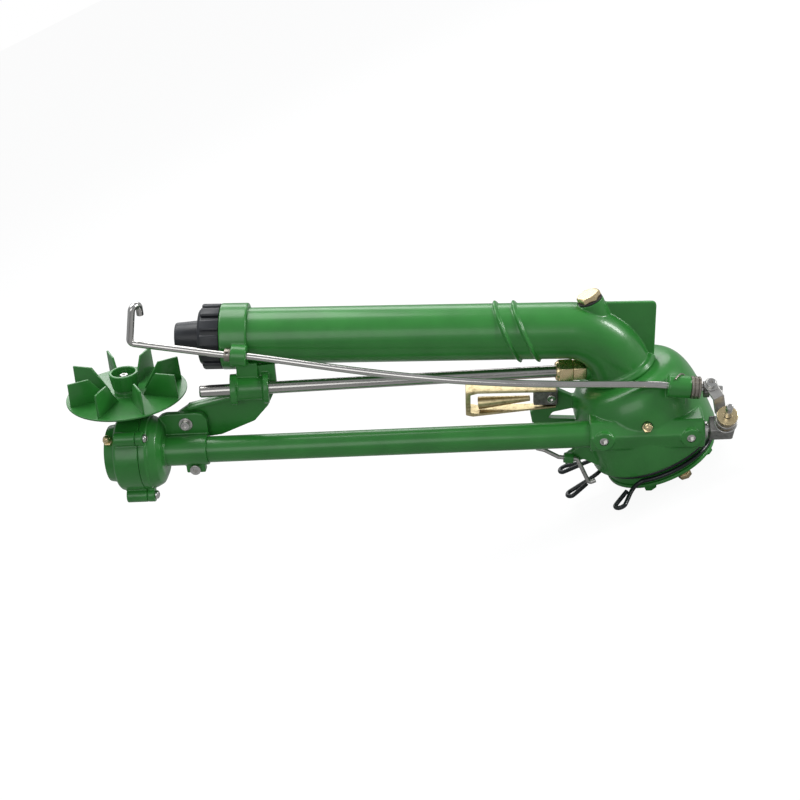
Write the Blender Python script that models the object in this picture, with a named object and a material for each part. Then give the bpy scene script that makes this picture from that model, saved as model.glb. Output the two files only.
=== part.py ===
"""Turbine-driven rain gun: a big sprinkler whose own water turns it on its riser.

Metres, +Z up. The origin is the centre of the inlet's end face, and Z is the slewing axis.
The barrel points towards -X and rises. Three frames are used: the world, the barrel frame
(X along the barrel to the nozzle, Y to the front side, Z square to the barrel) and the drive
frame (X along the drive shaft to the gearbox, Y to the front side, Z square to the shaft).
"""
import math

import bmesh
import bpy
from mathutils import Matrix, Vector

MM = 0.001
GAP = 0.3 * MM
OVERRUN = 2 * MM

# Overall layout
BARREL_RISE = math.radians(24)
AXES_CROSS_HEIGHT = 188.5 * MM
CLAMP_STATION = 399.4 * MM
CLAMP_WIDTH = 31 * MM

# Waterway: riser elbow, barrel and nozzle
BARREL_RADIUS = 32 * MM
BARREL_WALL = 3 * MM
ELBOW_BEND = 62 * MM
ELBOW_STATION = 128 * MM
RISER_RADIUS = 34.5 * MM
RISER_BEAD = 3.2 * MM
RIB_STATIONS = (87 * MM, 108 * MM)
RIB_HEIGHT = 2.6 * MM
NOZZLE_BORE = 11 * MM
NOZZLE_THROAT = 16.5 * MM
NOZZLE_FLARE = 14 * MM
NOZZLE_TIP_RADIUS = 16.1 * MM
NOZZLE_ROOT_RADIUS = 18.7 * MM
NOZZLE_LENGTH = 27.9 * MM
NUT_RADIUS = 37.2 * MM
NUT_WIDTH = 24.6 * MM
NUT_LOBES = 12
VANE_THICKNESS = 1.6 * MM
VANE_LENGTH = 60 * MM

# Plug and fin on the elbow
PLUG_BOSS_RADIUS = 14.5 * MM
PLUG_BOSS_TOP = 227.5 * MM
PLUG_HEX = 24 * MM
PLUG_HEIGHT = 6.5 * MM
FIN_THICKNESS = 5 * MM
FIN_BACK = 57.5 * MM
FIN_TOP = 34 * MM

# Base, fixed to the supply pipe
HUB_RADIUS = 38 * MM
INLET_BORE = 28.3 * MM
PLATE_BOTTOM = 14 * MM
PLATE_THICKNESS = 4 * MM
PLATE_RADIUS = 66 * MM
COLLAR_RADIUS = 64.3 * MM
COLLAR_TOP = 33 * MM
NECK_RADIUS = 44 * MM
SLEEVE_RADIUS = 28.5 * MM
SLEEVE_BORE = 24.5 * MM
SLEEVE_TOP = 118 * MM
BASE_BOLT_CIRCLE = 54.5 * MM
BASE_BOLT_HEAD = 8 * MM
BASE_BOLT_TURN = math.radians(-113.5)
DRAIN_PLUG_TURN = math.radians(-69.5)
DRAIN_PLUG_DEPTH = 10 * MM
BASE_BOLT_HEX = 13 * MM
BASE_BOLT_COUNT = 4
BOLT_SHANK = 3 * MM

# Ring gear and the worm that would walk round it
RING_GEAR_TIP = 49 * MM
RING_GEAR_TOOTH = 3 * MM
RING_GEAR_TEETH = 40
RING_GEAR_BOTTOM = 72 * MM
RING_GEAR_WIDTH = 14 * MM
WORM_RADIUS = 8.4 * MM
WORM_THREAD = 1.5 * MM
WORM_HALF_LENGTH = 17 * MM

# Drum housing
DRUM_RADIUS = 75 * MM
DRUM_BOTTOM = 35 * MM
DRUM_SHOULDER = 57 * MM
DOME_TOP = 134 * MM
DOME_SQUARENESS = 0.7
DRUM_WALL = 9 * MM
CAVITY_TOP = 94 * MM
CHAMBER_FLOOR = 104 * MM
CHAMBER_RADIUS = 36 * MM
BUSH_RADIUS = 32 * MM

# Stop rings
WIRE_RADIUS = 2.5 * MM
STOP_RING_RADIUS = COLLAR_RADIUS + WIRE_RADIUS + 0.5 * MM
STOP_ARM_BEND = 9 * MM
STOP_ARM_SLOPE = 0.171
STOP_LOOP_RADIUS = 6.5 * MM
STOP_LOOP_RETURN = 20 * MM
UPPER_RING_HEIGHT = 31.8 * MM
LOWER_RING_HEIGHT = 24.5 * MM

# Drive shaft line
SHAFT_OFFSET = 58 * MM
SHAFT_HEIGHT = 79.3 * MM
SHAFT_RISE = math.radians(21.45)
SHAFT_SPLAY = math.radians(1.85)
SHAFT_RADIUS = 6 * MM
BLOCK_HALF_LENGTH = 63.5 * MM
BLOCK_RADIUS = 20.5 * MM
TUBE_RADIUS = 15 * MM
TUBE_BORE = 12 * MM
TUBE_INSERT = 20 * MM
SOCKET_STATION = 496 * MM

# Gearbox and turbine
GEARBOX_RADIUS = 43 * MM
GEARBOX_CAVITY = 36.5 * MM
GEARBOX_JOINT = 568 * MM
GEARBOX_FRONT_DEPTH = 30 * MM
GEARBOX_BOSS_RADIUS = 34 * MM
GEARBOX_BOSS_DEPTH = 12 * MM
LUG_CIRCLE = 49.5 * MM
LUG_RADIUS = 8 * MM
LUG_ANGLES = tuple(math.radians(a) for a in (-26, 44, 154, 224))
TURBINE_STATION = 587 * MM
WORM_CENTRES = 26 * MM
TURBINE_WORM_RADIUS = 6.9 * MM
TURBINE_WORM_ROOT = 4.6 * MM
WHEEL_TEETH = 25
WHEEL_PITCH_RADIUS = 20 * MM
WHEEL_TIP_RADIUS = 20.6 * MM
WHEEL_ROOT_RADIUS = 18 * MM
WHEEL_WIDTH = 8 * MM
WHEEL_JOURNAL = 9.5 * MM
TURBINE_SHAFT_RADIUS = 4.2 * MM
TURBINE_DISC_HEIGHT = 61.5 * MM
TURBINE_DISC = 2.6 * MM
TURBINE_RADIUS = 69 * MM
TURBINE_BLADES = 8
BLADE_HEIGHT = 28 * MM
BLADE_THICKNESS = 2.4 * MM
HUB_HEIGHT = 29 * MM
TURBINE_HUB_RADIUS = 14.4 * MM
TURBINE_HUB_RIM = 16.6 * MM
TURBINE_HUB_RECESS = 13.2 * MM
BLADE_ROOT = 21 * MM
BLADE_PHASE = math.radians(29)

# Grease nipples: name, seat radius, station and turn round the drive shaft
NIPPLE_SEATS = (("gearbox_nipple", GEARBOX_BOSS_RADIUS - 0.3 * MM, 604 * MM, math.radians(39)),
                ("block_nipple", 18.9 * MM, -2 * MM, math.radians(58)))
NIPPLE_SPOT_FACE = 4.4 * MM

# Water tube that feeds the turbine
JET_TUBE_RADIUS = 7 * MM
JET_TUBE_BORE = 5 * MM
JET_TUBE_START = Vector((50.5, 0.0, -50.3)) * MM
JET_TUBE_END = Vector((456.3, 36.0, -51.8)) * MM
FITTING_HEX = 25 * MM

# Jet breaker rod and its bearings
ROD_RADIUS = 4 * MM
ROD_FRONT = Vector((411.4, 45.2, -3.5)) * MM
ROD_REAR = Vector((-81.5, 57.5, -44.8)) * MM
ROD_BOW = 13 * MM
ROD_TIP_REACH = 117 * MM
ROD_HOOK_HEIGHT = 42.5 * MM
ROD_BOSS_RADIUS = 11.9 * MM
REAR_BOSS_RADIUS = 12.4 * MM
REAR_BOSS_END = 16 * MM
REAR_RING_RADIUS = 12.6 * MM

# Link between the breaker rod and the shaft's eccentric
ECCENTRICITY = 3 * MM
ECCENTRIC_PIN = 5 * MM
LINK_PLANE_TILT = math.radians(51.5)
STRAP_STATION = -82 * MM
STRAP_LENGTH = 27 * MM
STRAP_WIDTH = 19.4 * MM
STRAP_DEPTH = 25 * MM
STUD_RADIUS = 4 * MM
STUD_TOP = 57 * MM
BAR_WIDTH = 13 * MM
BAR_THICKNESS = 3.6 * MM
BAR_LOW_PLANE = 23.6 * MM
BAR_ABOVE_ROD = 6 * MM
EYE_RADIUS = 11.9 * MM
EYE_BORE = 9.3 * MM
WASHER_PLANE = 31 * MM
STUD_SHIFT = 4 * MM
CLAMP_ON_ROD = -30.6 * MM

# Trip lever
TRIP_WIRE = 2.5 * MM
TRIP_EYE = Vector((-94.0, -40.0, 75.6)) * MM
TRIP_END = Vector((-85.2, -40.0, 70.2)) * MM
TRIP_TAIL = Vector((-103.6, -40.0, 81.5)) * MM
EYE_BOSS_RADIUS = 6 * MM
EYE_BOSS_LENGTH = 11 * MM
TRIP_TIP_HEIGHT = 33.2 * MM

# Spreader for the near water
BRACKET_THICKNESS = 9 * MM
SPREADER_DEPTH = 10 * MM
SPREADER_PIVOT = Vector((58.0, -4.3, -84.0)) * MM
SPREADER_SCREW = 3 * MM

# Screws
EAR_SCREW = Vector((520.3, -8.7, 29.0)) * MM

GREEN = (0.035, 0.235, 0.045)
STEEL = (0.62, 0.61, 0.59)
DARK_STEEL = (0.23, 0.23, 0.24)
BRASS = (0.72, 0.52, 0.19)
BRONZE = (0.55, 0.38, 0.2)
BLACK = (0.02, 0.022, 0.025)
RUBBER = (0.03, 0.03, 0.03)

# Castings joined from many forms, on which the exact solver leaves open edges
LONG_CHAINS = ("drum_housing", "riser_elbow", "gearbox_front", "gearbox_rear_cover", "clamp_casting")

FINISHES = {
    "green": (GREEN, 0.35, 0.0),
    "steel": (STEEL, 0.3, 1.0),
    "grey": (DARK_STEEL, 0.5, 1.0),
    "brass": (BRASS, 0.3, 1.0),
    "bronze": (BRONZE, 0.4, 1.0),
    "black": (BLACK, 0.45, 0.0),
    "rubber": (RUBBER, 0.7, 0.0),
}


def clear_scene():
    for obj in list(bpy.data.objects):
        bpy.data.objects.remove(obj, do_unlink=True)


def material(name):
    """Each piece has its own material, made from one of the finishes."""
    finish = FINISHES[name.split(":")[0]]
    mat = bpy.data.materials.new(name.replace(":", "_"))
    mat.use_nodes = True
    shader = mat.node_tree.nodes["Principled BSDF"]
    shader.inputs["Base Color"].default_value = (*finish[0], 1)
    shader.inputs["Roughness"].default_value = finish[1]
    shader.inputs["Metallic"].default_value = finish[2]
    return mat


def empty(name, matrix, parent=None):
    obj = bpy.data.objects.new(name, None)
    obj.empty_display_size = 0.02
    bpy.context.collection.objects.link(obj)
    obj.parent = parent
    obj.matrix_world = matrix
    bpy.context.view_layer.update()
    return obj


def frame_matrix(origin, x_axis, z_hint):
    """Right-handed frame at origin with the given X axis and Z as near z_hint as it can be."""
    x_axis = Vector(x_axis).normalized()
    z_axis = (Vector(z_hint) - x_axis * x_axis.dot(Vector(z_hint))).normalized()
    y_axis = z_axis.cross(x_axis)
    turn = Matrix((x_axis, y_axis, z_axis)).transposed().to_4x4()
    return Matrix.Translation(origin) @ turn


def shade(mesh, angle=35):
    mesh.shade_smooth()
    mesh.set_sharp_from_angle(angle=math.radians(angle))


def piece(name, bm, finish=None, parent=None, at=None):
    """Turn a bmesh into an object; without a finish it is a guide that the build leaves out."""
    bmesh.ops.remove_doubles(bm, verts=bm.verts, dist=1e-6)
    bmesh.ops.recalc_face_normals(bm, faces=bm.faces)
    mesh = bpy.data.meshes.new(name)
    bm.to_mesh(mesh)
    bm.free()
    shade(mesh)
    obj = bpy.data.objects.new(name, mesh)
    bpy.context.collection.objects.link(obj)
    if parent is not None:
        obj.parent = parent
    if at is not None:
        obj.matrix_local = at
    if finish is None:
        obj.hide_render = True
        obj.display_type = "WIRE"
    else:
        mesh.materials.append(material(finish + ":" + name))
    return obj


def combine(target, tool, operation):
    mod = target.modifiers.new(tool.name, "BOOLEAN")
    mod.operation = operation
    mod.solver = "MANIFOLD" if target.name in LONG_CHAINS else "EXACT"
    mod.object = tool


def cut(target, *tools):
    for tool in tools:
        combine(target, tool, "DIFFERENCE")


def join(target, *tools):
    for tool in tools:
        combine(target, tool, "UNION")


def trim(target, tool):
    combine(target, tool, "INTERSECT")


# Basic forms, each returned as a bmesh

def turned(profile, steps=28):
    """Spin a closed outline of (radius, height) points round Z."""
    bm = bmesh.new()
    verts = [bm.verts.new((r, 0, z)) for r, z in profile]
    edges = [bm.edges.new((a, b)) for a, b in zip(verts, verts[1:] + verts[:1])]
    bmesh.ops.spin(bm, geom=verts + edges, cent=(0, 0, 0), axis=(0, 0, 1), dvec=(0, 0, 0),
                   angle=math.tau, steps=steps, use_merge=True, use_duplicate=False)
    bmesh.ops.remove_doubles(bm, verts=bm.verts, dist=1e-7)
    flat = [f for f in bm.faces if f.calc_area() < 1e-12]
    bmesh.ops.delete(bm, geom=flat, context="FACES")
    return bm


def rod_form(radius, low, high, steps=20, end_radius=None):
    """Round bar along Z from low to high, tapering to end_radius where one is given."""
    top = radius if end_radius is None else end_radius
    return turned([(0, low), (radius, low), (top, high), (0, high)], steps)


def ring_form(outer, inner, low, high, steps=24):
    return turned([(inner, low), (outer, low), (outer, high), (inner, high)], steps)


def chamfered_ring(outer, inner, low, high, chamfer, steps=24):
    return turned([(inner, low), (outer - chamfer, low), (outer, low + chamfer),
                   (outer, high - chamfer), (outer - chamfer, high), (inner, high)], steps)


def prism(outline, low, high):
    """Extrude a flat outline of (x, y) points along Z."""
    bm = bmesh.new()
    bottom = [bm.verts.new((x, y, low)) for x, y in outline]
    face = bm.faces.new(bottom)
    grown = bmesh.ops.extrude_face_region(bm, geom=[face])
    moved = [v for v in grown["geom"] if isinstance(v, bmesh.types.BMVert)]
    bmesh.ops.translate(bm, verts=moved, vec=(0, 0, high - low))
    return bm


def regular(count, radius, turn=0.0):
    return [(radius * math.cos(turn + math.tau * i / count), radius * math.sin(turn + math.tau * i / count))
            for i in range(count)]


def hexagon(across_flats, turn=0.0):
    return regular(6, across_flats / math.sqrt(3), turn)


def rounded_box(size, centre=(0, 0, 0), edge=1 * MM):
    bm = bmesh.new()
    bmesh.ops.create_cube(bm, size=1)
    bmesh.ops.scale(bm, vec=size, verts=bm.verts)
    if edge:
        bmesh.ops.bevel(bm, geom=bm.edges[:], offset=edge, segments=1, profile=0.5, affect="EDGES")
    bmesh.ops.translate(bm, vec=centre, verts=bm.verts)
    return bm


def twisted(section, low, high, slices, turns):
    """Loft a section along Z while it turns, as a screw thread or a helical gear does."""
    bm = bmesh.new()
    rings = []
    for i in range(slices + 1):
        share = i / slices
        turn = math.tau * turns * (share - 0.5)
        c, s = math.cos(turn), math.sin(turn)
        z = low + (high - low) * share
        rings.append([bm.verts.new((x * c - y * s, x * s + y * c, z)) for x, y in section])
    count = len(section)
    for a, b in zip(rings, rings[1:]):
        for i in range(count):
            j = (i + 1) % count
            bm.faces.new((a[i], a[j], b[j], b[i]))
    bm.faces.new(rings[0])
    bm.faces.new(rings[-1])
    bmesh.ops.triangulate(bm, faces=[f for f in bm.faces if len(f.verts) > 4])
    return bm


def arc(centre, start, axis, angle, steps):
    """Points of an arc that starts at start and turns about axis through centre."""
    turn = [Matrix.Rotation(angle * i / steps, 3, axis) for i in range(steps + 1)]
    return [centre + t @ (start - centre) for t in turn]


def rounded_path(corners, radius, steps=5):
    """Run through the corners with each inner corner rounded to the given bend radius."""
    points = [corners[0]]
    for before, corner, after in zip(corners, corners[1:], corners[2:]):
        a = (before - corner).normalized()
        b = (after - corner).normalized()
        half = a.angle(b) / 2
        reach = radius / math.tan(half)
        axis = a.cross(b).normalized()
        start = corner + a * reach
        centre = corner + (a + b).normalized() * (radius / math.sin(half))
        points += arc(centre, start, axis, -(math.pi - 2 * half), steps)
    points.append(corners[-1])
    return points


def wire(name, points, radius, finish, parent, sides=2):
    """Round bar bent along points: a curve with a bevel and filled caps."""
    curve = bpy.data.curves.new(name, "CURVE")
    curve.dimensions = "3D"
    curve.bevel_depth = radius
    curve.bevel_resolution = sides
    curve.use_fill_caps = True
    spline = curve.splines.new("POLY")
    spline.points.add(len(points) - 1)
    for slot, point in zip(spline.points, points):
        slot.co = (*point, 1)
    obj = bpy.data.objects.new(name, curve)
    bpy.context.collection.objects.link(obj)
    obj.parent = parent
    curve.materials.append(material(finish + ":" + name))
    return obj


def swept(points, radii, steps):
    """Round bar through points that lie in a plane square to Y, with a radius at each point."""
    bm = bmesh.new()
    rings = []
    across = Vector((0, 1, 0))
    count = len(points)
    for i, (point, radius) in enumerate(zip(points, radii)):
        before = points[max(i - 1, 0)]
        after = points[min(i + 1, count - 1)]
        side = (after - before).normalized().cross(across)
        rings.append([bm.verts.new(point + radius * (math.cos(t) * across + math.sin(t) * side))
                      for t in (math.tau * k / steps for k in range(steps))])
    for a, b in zip(rings, rings[1:]):
        for k in range(steps):
            j = (k + 1) % steps
            bm.faces.new((a[k], a[j], b[j], b[k]))
    bm.faces.new(rings[0])
    bm.faces.new(rings[-1])
    return bm


def along(origin, direction, z_hint=(0, 0, 1)):
    """Local matrix whose Z runs along direction."""
    z_axis = Vector(direction).normalized()
    hint = Vector(z_hint)
    if abs(z_axis.dot(hint.normalized())) > 0.99:
        hint = Vector((1, 0, 0))
    x_axis = (hint - z_axis * z_axis.dot(hint)).normalized()
    y_axis = z_axis.cross(x_axis)
    return Matrix.Translation(origin) @ Matrix((x_axis, y_axis, z_axis)).transposed().to_4x4()


X_AXIS = along((0, 0, 0), (1, 0, 0))
# Stands a flat outline up: its Y becomes Z, and its extrusion runs along -Y
UPRIGHT = Matrix(((1, 0, 0, 0), (0, 0, -1, 0), (0, 1, 0, 0), (0, 0, 0, 1)))


# Frames

def make_frames():
    barrel_axis = Vector((-math.cos(BARREL_RISE), 0, math.sin(BARREL_RISE)))
    shaft_axis = Vector((-math.cos(SHAFT_RISE) * math.cos(SHAFT_SPLAY),
                         math.cos(SHAFT_RISE) * math.sin(SHAFT_SPLAY), math.sin(SHAFT_RISE)))
    root = empty("axis_slew", Matrix.Identity(4))
    barrel = empty("barrel_frame", frame_matrix((0, 0, AXES_CROSS_HEIGHT), barrel_axis, (0, 0, 1)), root)
    drive = empty("axis_drive", frame_matrix((0, -SHAFT_OFFSET, SHAFT_HEIGHT), shaft_axis, (0, 0, 1)), root)
    turbine = empty("axis_turbine",
                    drive.matrix_world @ Matrix.Translation((TURBINE_STATION, -WORM_CENTRES, 0)), drive)
    strap_at = Vector((STRAP_STATION, 0, 0)) + ECCENTRICITY * link_normal()
    strap = empty("axis_strap", drive.matrix_world @ Matrix.Translation(strap_at), drive)
    rod_axis = (ROD_FRONT - ROD_REAR).normalized()
    rod = empty("axis_breaker", barrel.matrix_world @ frame_matrix(ROD_REAR, rod_axis, (0, 0, 1)), barrel)
    trip = empty("axis_trip", along(TRIP_EYE, TRIP_END - TRIP_EYE), root)
    spread = empty("axis_spreader", barrel.matrix_world @ Matrix.Translation(SPREADER_PIVOT), barrel)
    return {"root": root, "barrel": barrel, "drive": drive, "turbine": turbine, "strap": strap,
            "rod": rod, "trip": trip, "spreader": spread}


def link_normal():
    """Direction of the link stud in the drive frame: square to the shaft, up and to the front."""
    return Vector((0, math.cos(LINK_PLANE_TILT), math.sin(LINK_PLANE_TILT)))


# Base

def base_body(frames):
    profile = [(INLET_BORE, 0), (HUB_RADIUS, 0), (HUB_RADIUS, PLATE_BOTTOM + PLATE_THICKNESS + GAP),
               (COLLAR_RADIUS, PLATE_BOTTOM + PLATE_THICKNESS + GAP), (COLLAR_RADIUS, COLLAR_TOP),
               (NECK_RADIUS, COLLAR_TOP), (NECK_RADIUS, RING_GEAR_BOTTOM - 12 * MM),
               (NECK_RADIUS - 6 * MM, RING_GEAR_BOTTOM - GAP), (SLEEVE_RADIUS, RING_GEAR_BOTTOM - GAP),
               (SLEEVE_RADIUS, SLEEVE_TOP), (SLEEVE_BORE, SLEEVE_TOP), (SLEEVE_BORE, 32 * MM),
               (INLET_BORE, 25 * MM)]
    body = piece("base_body", turned(profile, 30), "green", frames["root"])
    bolt_holes(frames, body, "collar_hole", PLATE_BOTTOM, COLLAR_TOP - 5 * MM)


def base_plate(frames):
    disc = ring_form(PLATE_RADIUS, HUB_RADIUS + GAP, PLATE_BOTTOM, PLATE_BOTTOM + PLATE_THICKNESS, 30)
    plate = piece("base_plate", disc, "green", frames["root"])
    bolt_holes(frames, plate, "plate_hole", PLATE_BOTTOM - OVERRUN, PLATE_BOTTOM + PLATE_THICKNESS + OVERRUN)


def base_bolts(frames):
    """Hex bolts through the plate into the collar."""
    top = PLATE_BOTTOM - GAP
    for i in range(BASE_BOLT_COUNT):
        turn = BASE_BOLT_TURN + math.tau * i / BASE_BOLT_COUNT
        place = Matrix.Translation((BASE_BOLT_CIRCLE * math.cos(turn), BASE_BOLT_CIRCLE * math.sin(turn), 0))
        bolt = piece("base_bolt_%d" % (i + 1), prism(hexagon(BASE_BOLT_HEX, 0.3), top - BASE_BOLT_HEAD, top), "green",
                     frames["root"], place)
        shank = rod_form(BOLT_SHANK, top - 1 * MM, COLLAR_TOP - 6 * MM, 10)
        join(bolt, piece("bolt_shank_%d" % (i + 1), shank, None, frames["root"], place))


def bolt_holes(frames, target, name, low, high):
    for i in range(BASE_BOLT_COUNT):
        turn = BASE_BOLT_TURN + math.tau * i / BASE_BOLT_COUNT
        place = Matrix.Translation((BASE_BOLT_CIRCLE * math.cos(turn), BASE_BOLT_CIRCLE * math.sin(turn), 0))
        cut(target, piece("%s_%d" % (name, i), rod_form(BOLT_SHANK + GAP, low, high, 10), None, frames["root"], place))


def drain_plug(frames):
    turn = DRAIN_PLUG_TURN
    top = PLATE_BOTTOM - GAP
    bm = rod_form(8.5 * MM, top - 3 * MM, top, 20)
    head = prism(hexagon(14 * MM), top - DRAIN_PLUG_DEPTH, top - 2 * MM)
    place = Matrix.Translation((BASE_BOLT_CIRCLE * math.cos(turn), BASE_BOLT_CIRCLE * math.sin(turn), 0))
    washer = piece("drain_plug_washer", bm, None, frames["root"], place)
    plug = piece("drain_plug", head, "brass", frames["root"], place)
    join(plug, washer)


def gear_outline(teeth, tip, root, tip_share=0.34, root_share=0.34, phase=0.0):
    """Straight-flanked gear outline; phase 0 puts a tooth gap on the +X side."""
    flank = (1 - tip_share - root_share) / 2
    points = []
    for i in range(teeth):
        for share, radius in ((root_share / 2, root), (root_share / 2 + flank, tip),
                              (1 - root_share / 2 - flank, tip), (1 - root_share / 2, root)):
            turn = math.tau * (i + share) / teeth + phase
            points.append((radius * math.cos(turn), radius * math.sin(turn)))
    return points


def ring_gear(frames):
    outline = gear_outline(RING_GEAR_TEETH, RING_GEAR_TIP, RING_GEAR_TIP - RING_GEAR_TOOTH)
    top = RING_GEAR_BOTTOM + RING_GEAR_WIDTH
    gear = piece("ring_gear", prism(outline, RING_GEAR_BOTTOM, top), "bronze", frames["root"])
    cut(gear, piece("ring_gear_bore", rod_form(SLEEVE_RADIUS + GAP, RING_GEAR_BOTTOM - OVERRUN,
                                               top + OVERRUN, 24), None, frames["root"]))


def sleeve_hardware(frames):
    gear_top = RING_GEAR_BOTTOM + RING_GEAR_WIDTH
    inner = SLEEVE_RADIUS + GAP
    flange = [(inner, gear_top + GAP), (40 * MM, gear_top + GAP), (40 * MM, CAVITY_TOP - GAP),
              (BUSH_RADIUS - GAP, CAVITY_TOP - GAP), (BUSH_RADIUS - GAP, CHAMBER_FLOOR + 1 * MM),
              (inner, CHAMBER_FLOOR + 1 * MM)]
    piece("slewing_bush", turned(flange, 28), "bronze", frames["root"])
    bottom = CHAMBER_FLOOR + 1 * MM + GAP
    nut = piece("sleeve_nut", chamfered_ring(34.5 * MM, inner, bottom, bottom + 9 * MM, 1 * MM), "steel",
                frames["root"])
    for i in range(2):
        slot = rounded_box((80 * MM, 6 * MM, 6 * MM), (0, 0, bottom + 10 * MM), 0)
        place = Matrix.Rotation(math.pi / 2 * i, 4, "Z")
        cut(nut, piece("sleeve_nut_slot_%d" % i, slot, None, frames["root"], place))
    piece("water_seal", turned([(SLEEVE_BORE + 1 * MM, SLEEVE_TOP + GAP), (30 * MM, SLEEVE_TOP + GAP),
                                (30 * MM, SLEEVE_TOP + 4 * MM), (27 * MM, SLEEVE_TOP + 5.5 * MM),
                                (SLEEVE_BORE + 1 * MM, SLEEVE_TOP + 5.5 * MM)], 24), "rubber", frames["root"])


def stop_ring(frames, name, height, start, end, reaches):
    """Spring wire round the collar whose two ends reach out as looped arms."""
    def at(radius, turn):
        """Point on the cone that the arms slope down on."""
        drop = STOP_ARM_SLOPE * (radius - STOP_RING_RADIUS)
        return Vector((radius * math.cos(turn), radius * math.sin(turn), height - drop))

    def arm(turn, side, reach):
        """Out along one leg, round the loop and back until the end nearly meets the leg."""
        out = Vector((math.cos(turn), math.sin(turn), 0))
        across = Vector((-math.sin(turn), math.cos(turn), 0)) * side
        loop = at(reach, turn)
        turned_back = [loop + across * STOP_LOOP_RADIUS * (1 - math.cos(a)) + out * STOP_LOOP_RADIUS * math.sin(a)
                       for a in (math.pi * k / 5 for k in range(6))]
        closing = 2 * STOP_LOOP_RADIUS - 2 * WIRE_RADIUS - 0.8 * MM
        tail = turned_back[-1] - (out - Vector((0, 0, STOP_ARM_SLOPE))) * STOP_LOOP_RETURN - across * closing
        return [at(STOP_RING_RADIUS + STOP_ARM_BEND, turn)] + turned_back + [tail]

    steps = 26
    ring = [at(STOP_RING_RADIUS, start + (end - start) * i / steps) for i in range(steps + 1)]
    first = arm(start - math.radians(7), -1, reaches[0])
    last = arm(end + math.radians(7), 1, reaches[1])
    return wire(name, list(reversed(first)) + ring + last, WIRE_RADIUS, "black", frames["root"])


def stop_rings(frames):
    stop_ring(frames, "upper_stop_ring", UPPER_RING_HEIGHT, math.radians(-187.7), math.radians(98),
              (120 * MM, 104 * MM))
    stop_ring(frames, "lower_stop_ring", LOWER_RING_HEIGHT, math.radians(-114.2), math.radians(177),
              (101 * MM, 112 * MM))


# Drum housing

def dome_profile():
    """Outer outline from the bottom edge up a straight side and over a squarish dome."""
    neck = RISER_RADIUS + 4.5 * MM
    points = [(DRUM_RADIUS - 2 * MM, DRUM_BOTTOM), (DRUM_RADIUS, DRUM_BOTTOM + 2 * MM)]
    steps = 7
    for i in range(steps + 1):
        turn = math.pi / 2 * i / steps
        radius = neck + (DRUM_RADIUS - neck) * math.cos(turn) ** DOME_SQUARENESS
        height = DRUM_SHOULDER + (DOME_TOP - DRUM_SHOULDER) * math.sin(turn) ** DOME_SQUARENESS
        points.append((max(radius, neck), height))
    return points


def block_section():
    """Facetted section of the shaft block, in the drive frame's Y and Z."""
    faces = [(BLOCK_RADIUS * math.sin(a), BLOCK_RADIUS * math.cos(a))
             for a in (math.radians(d) for d in (27, 80, 132, 170))]
    return faces + [(-28 * MM, -16 * MM), (-32 * MM, 6 * MM), (-20 * MM, 19 * MM)]


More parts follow.
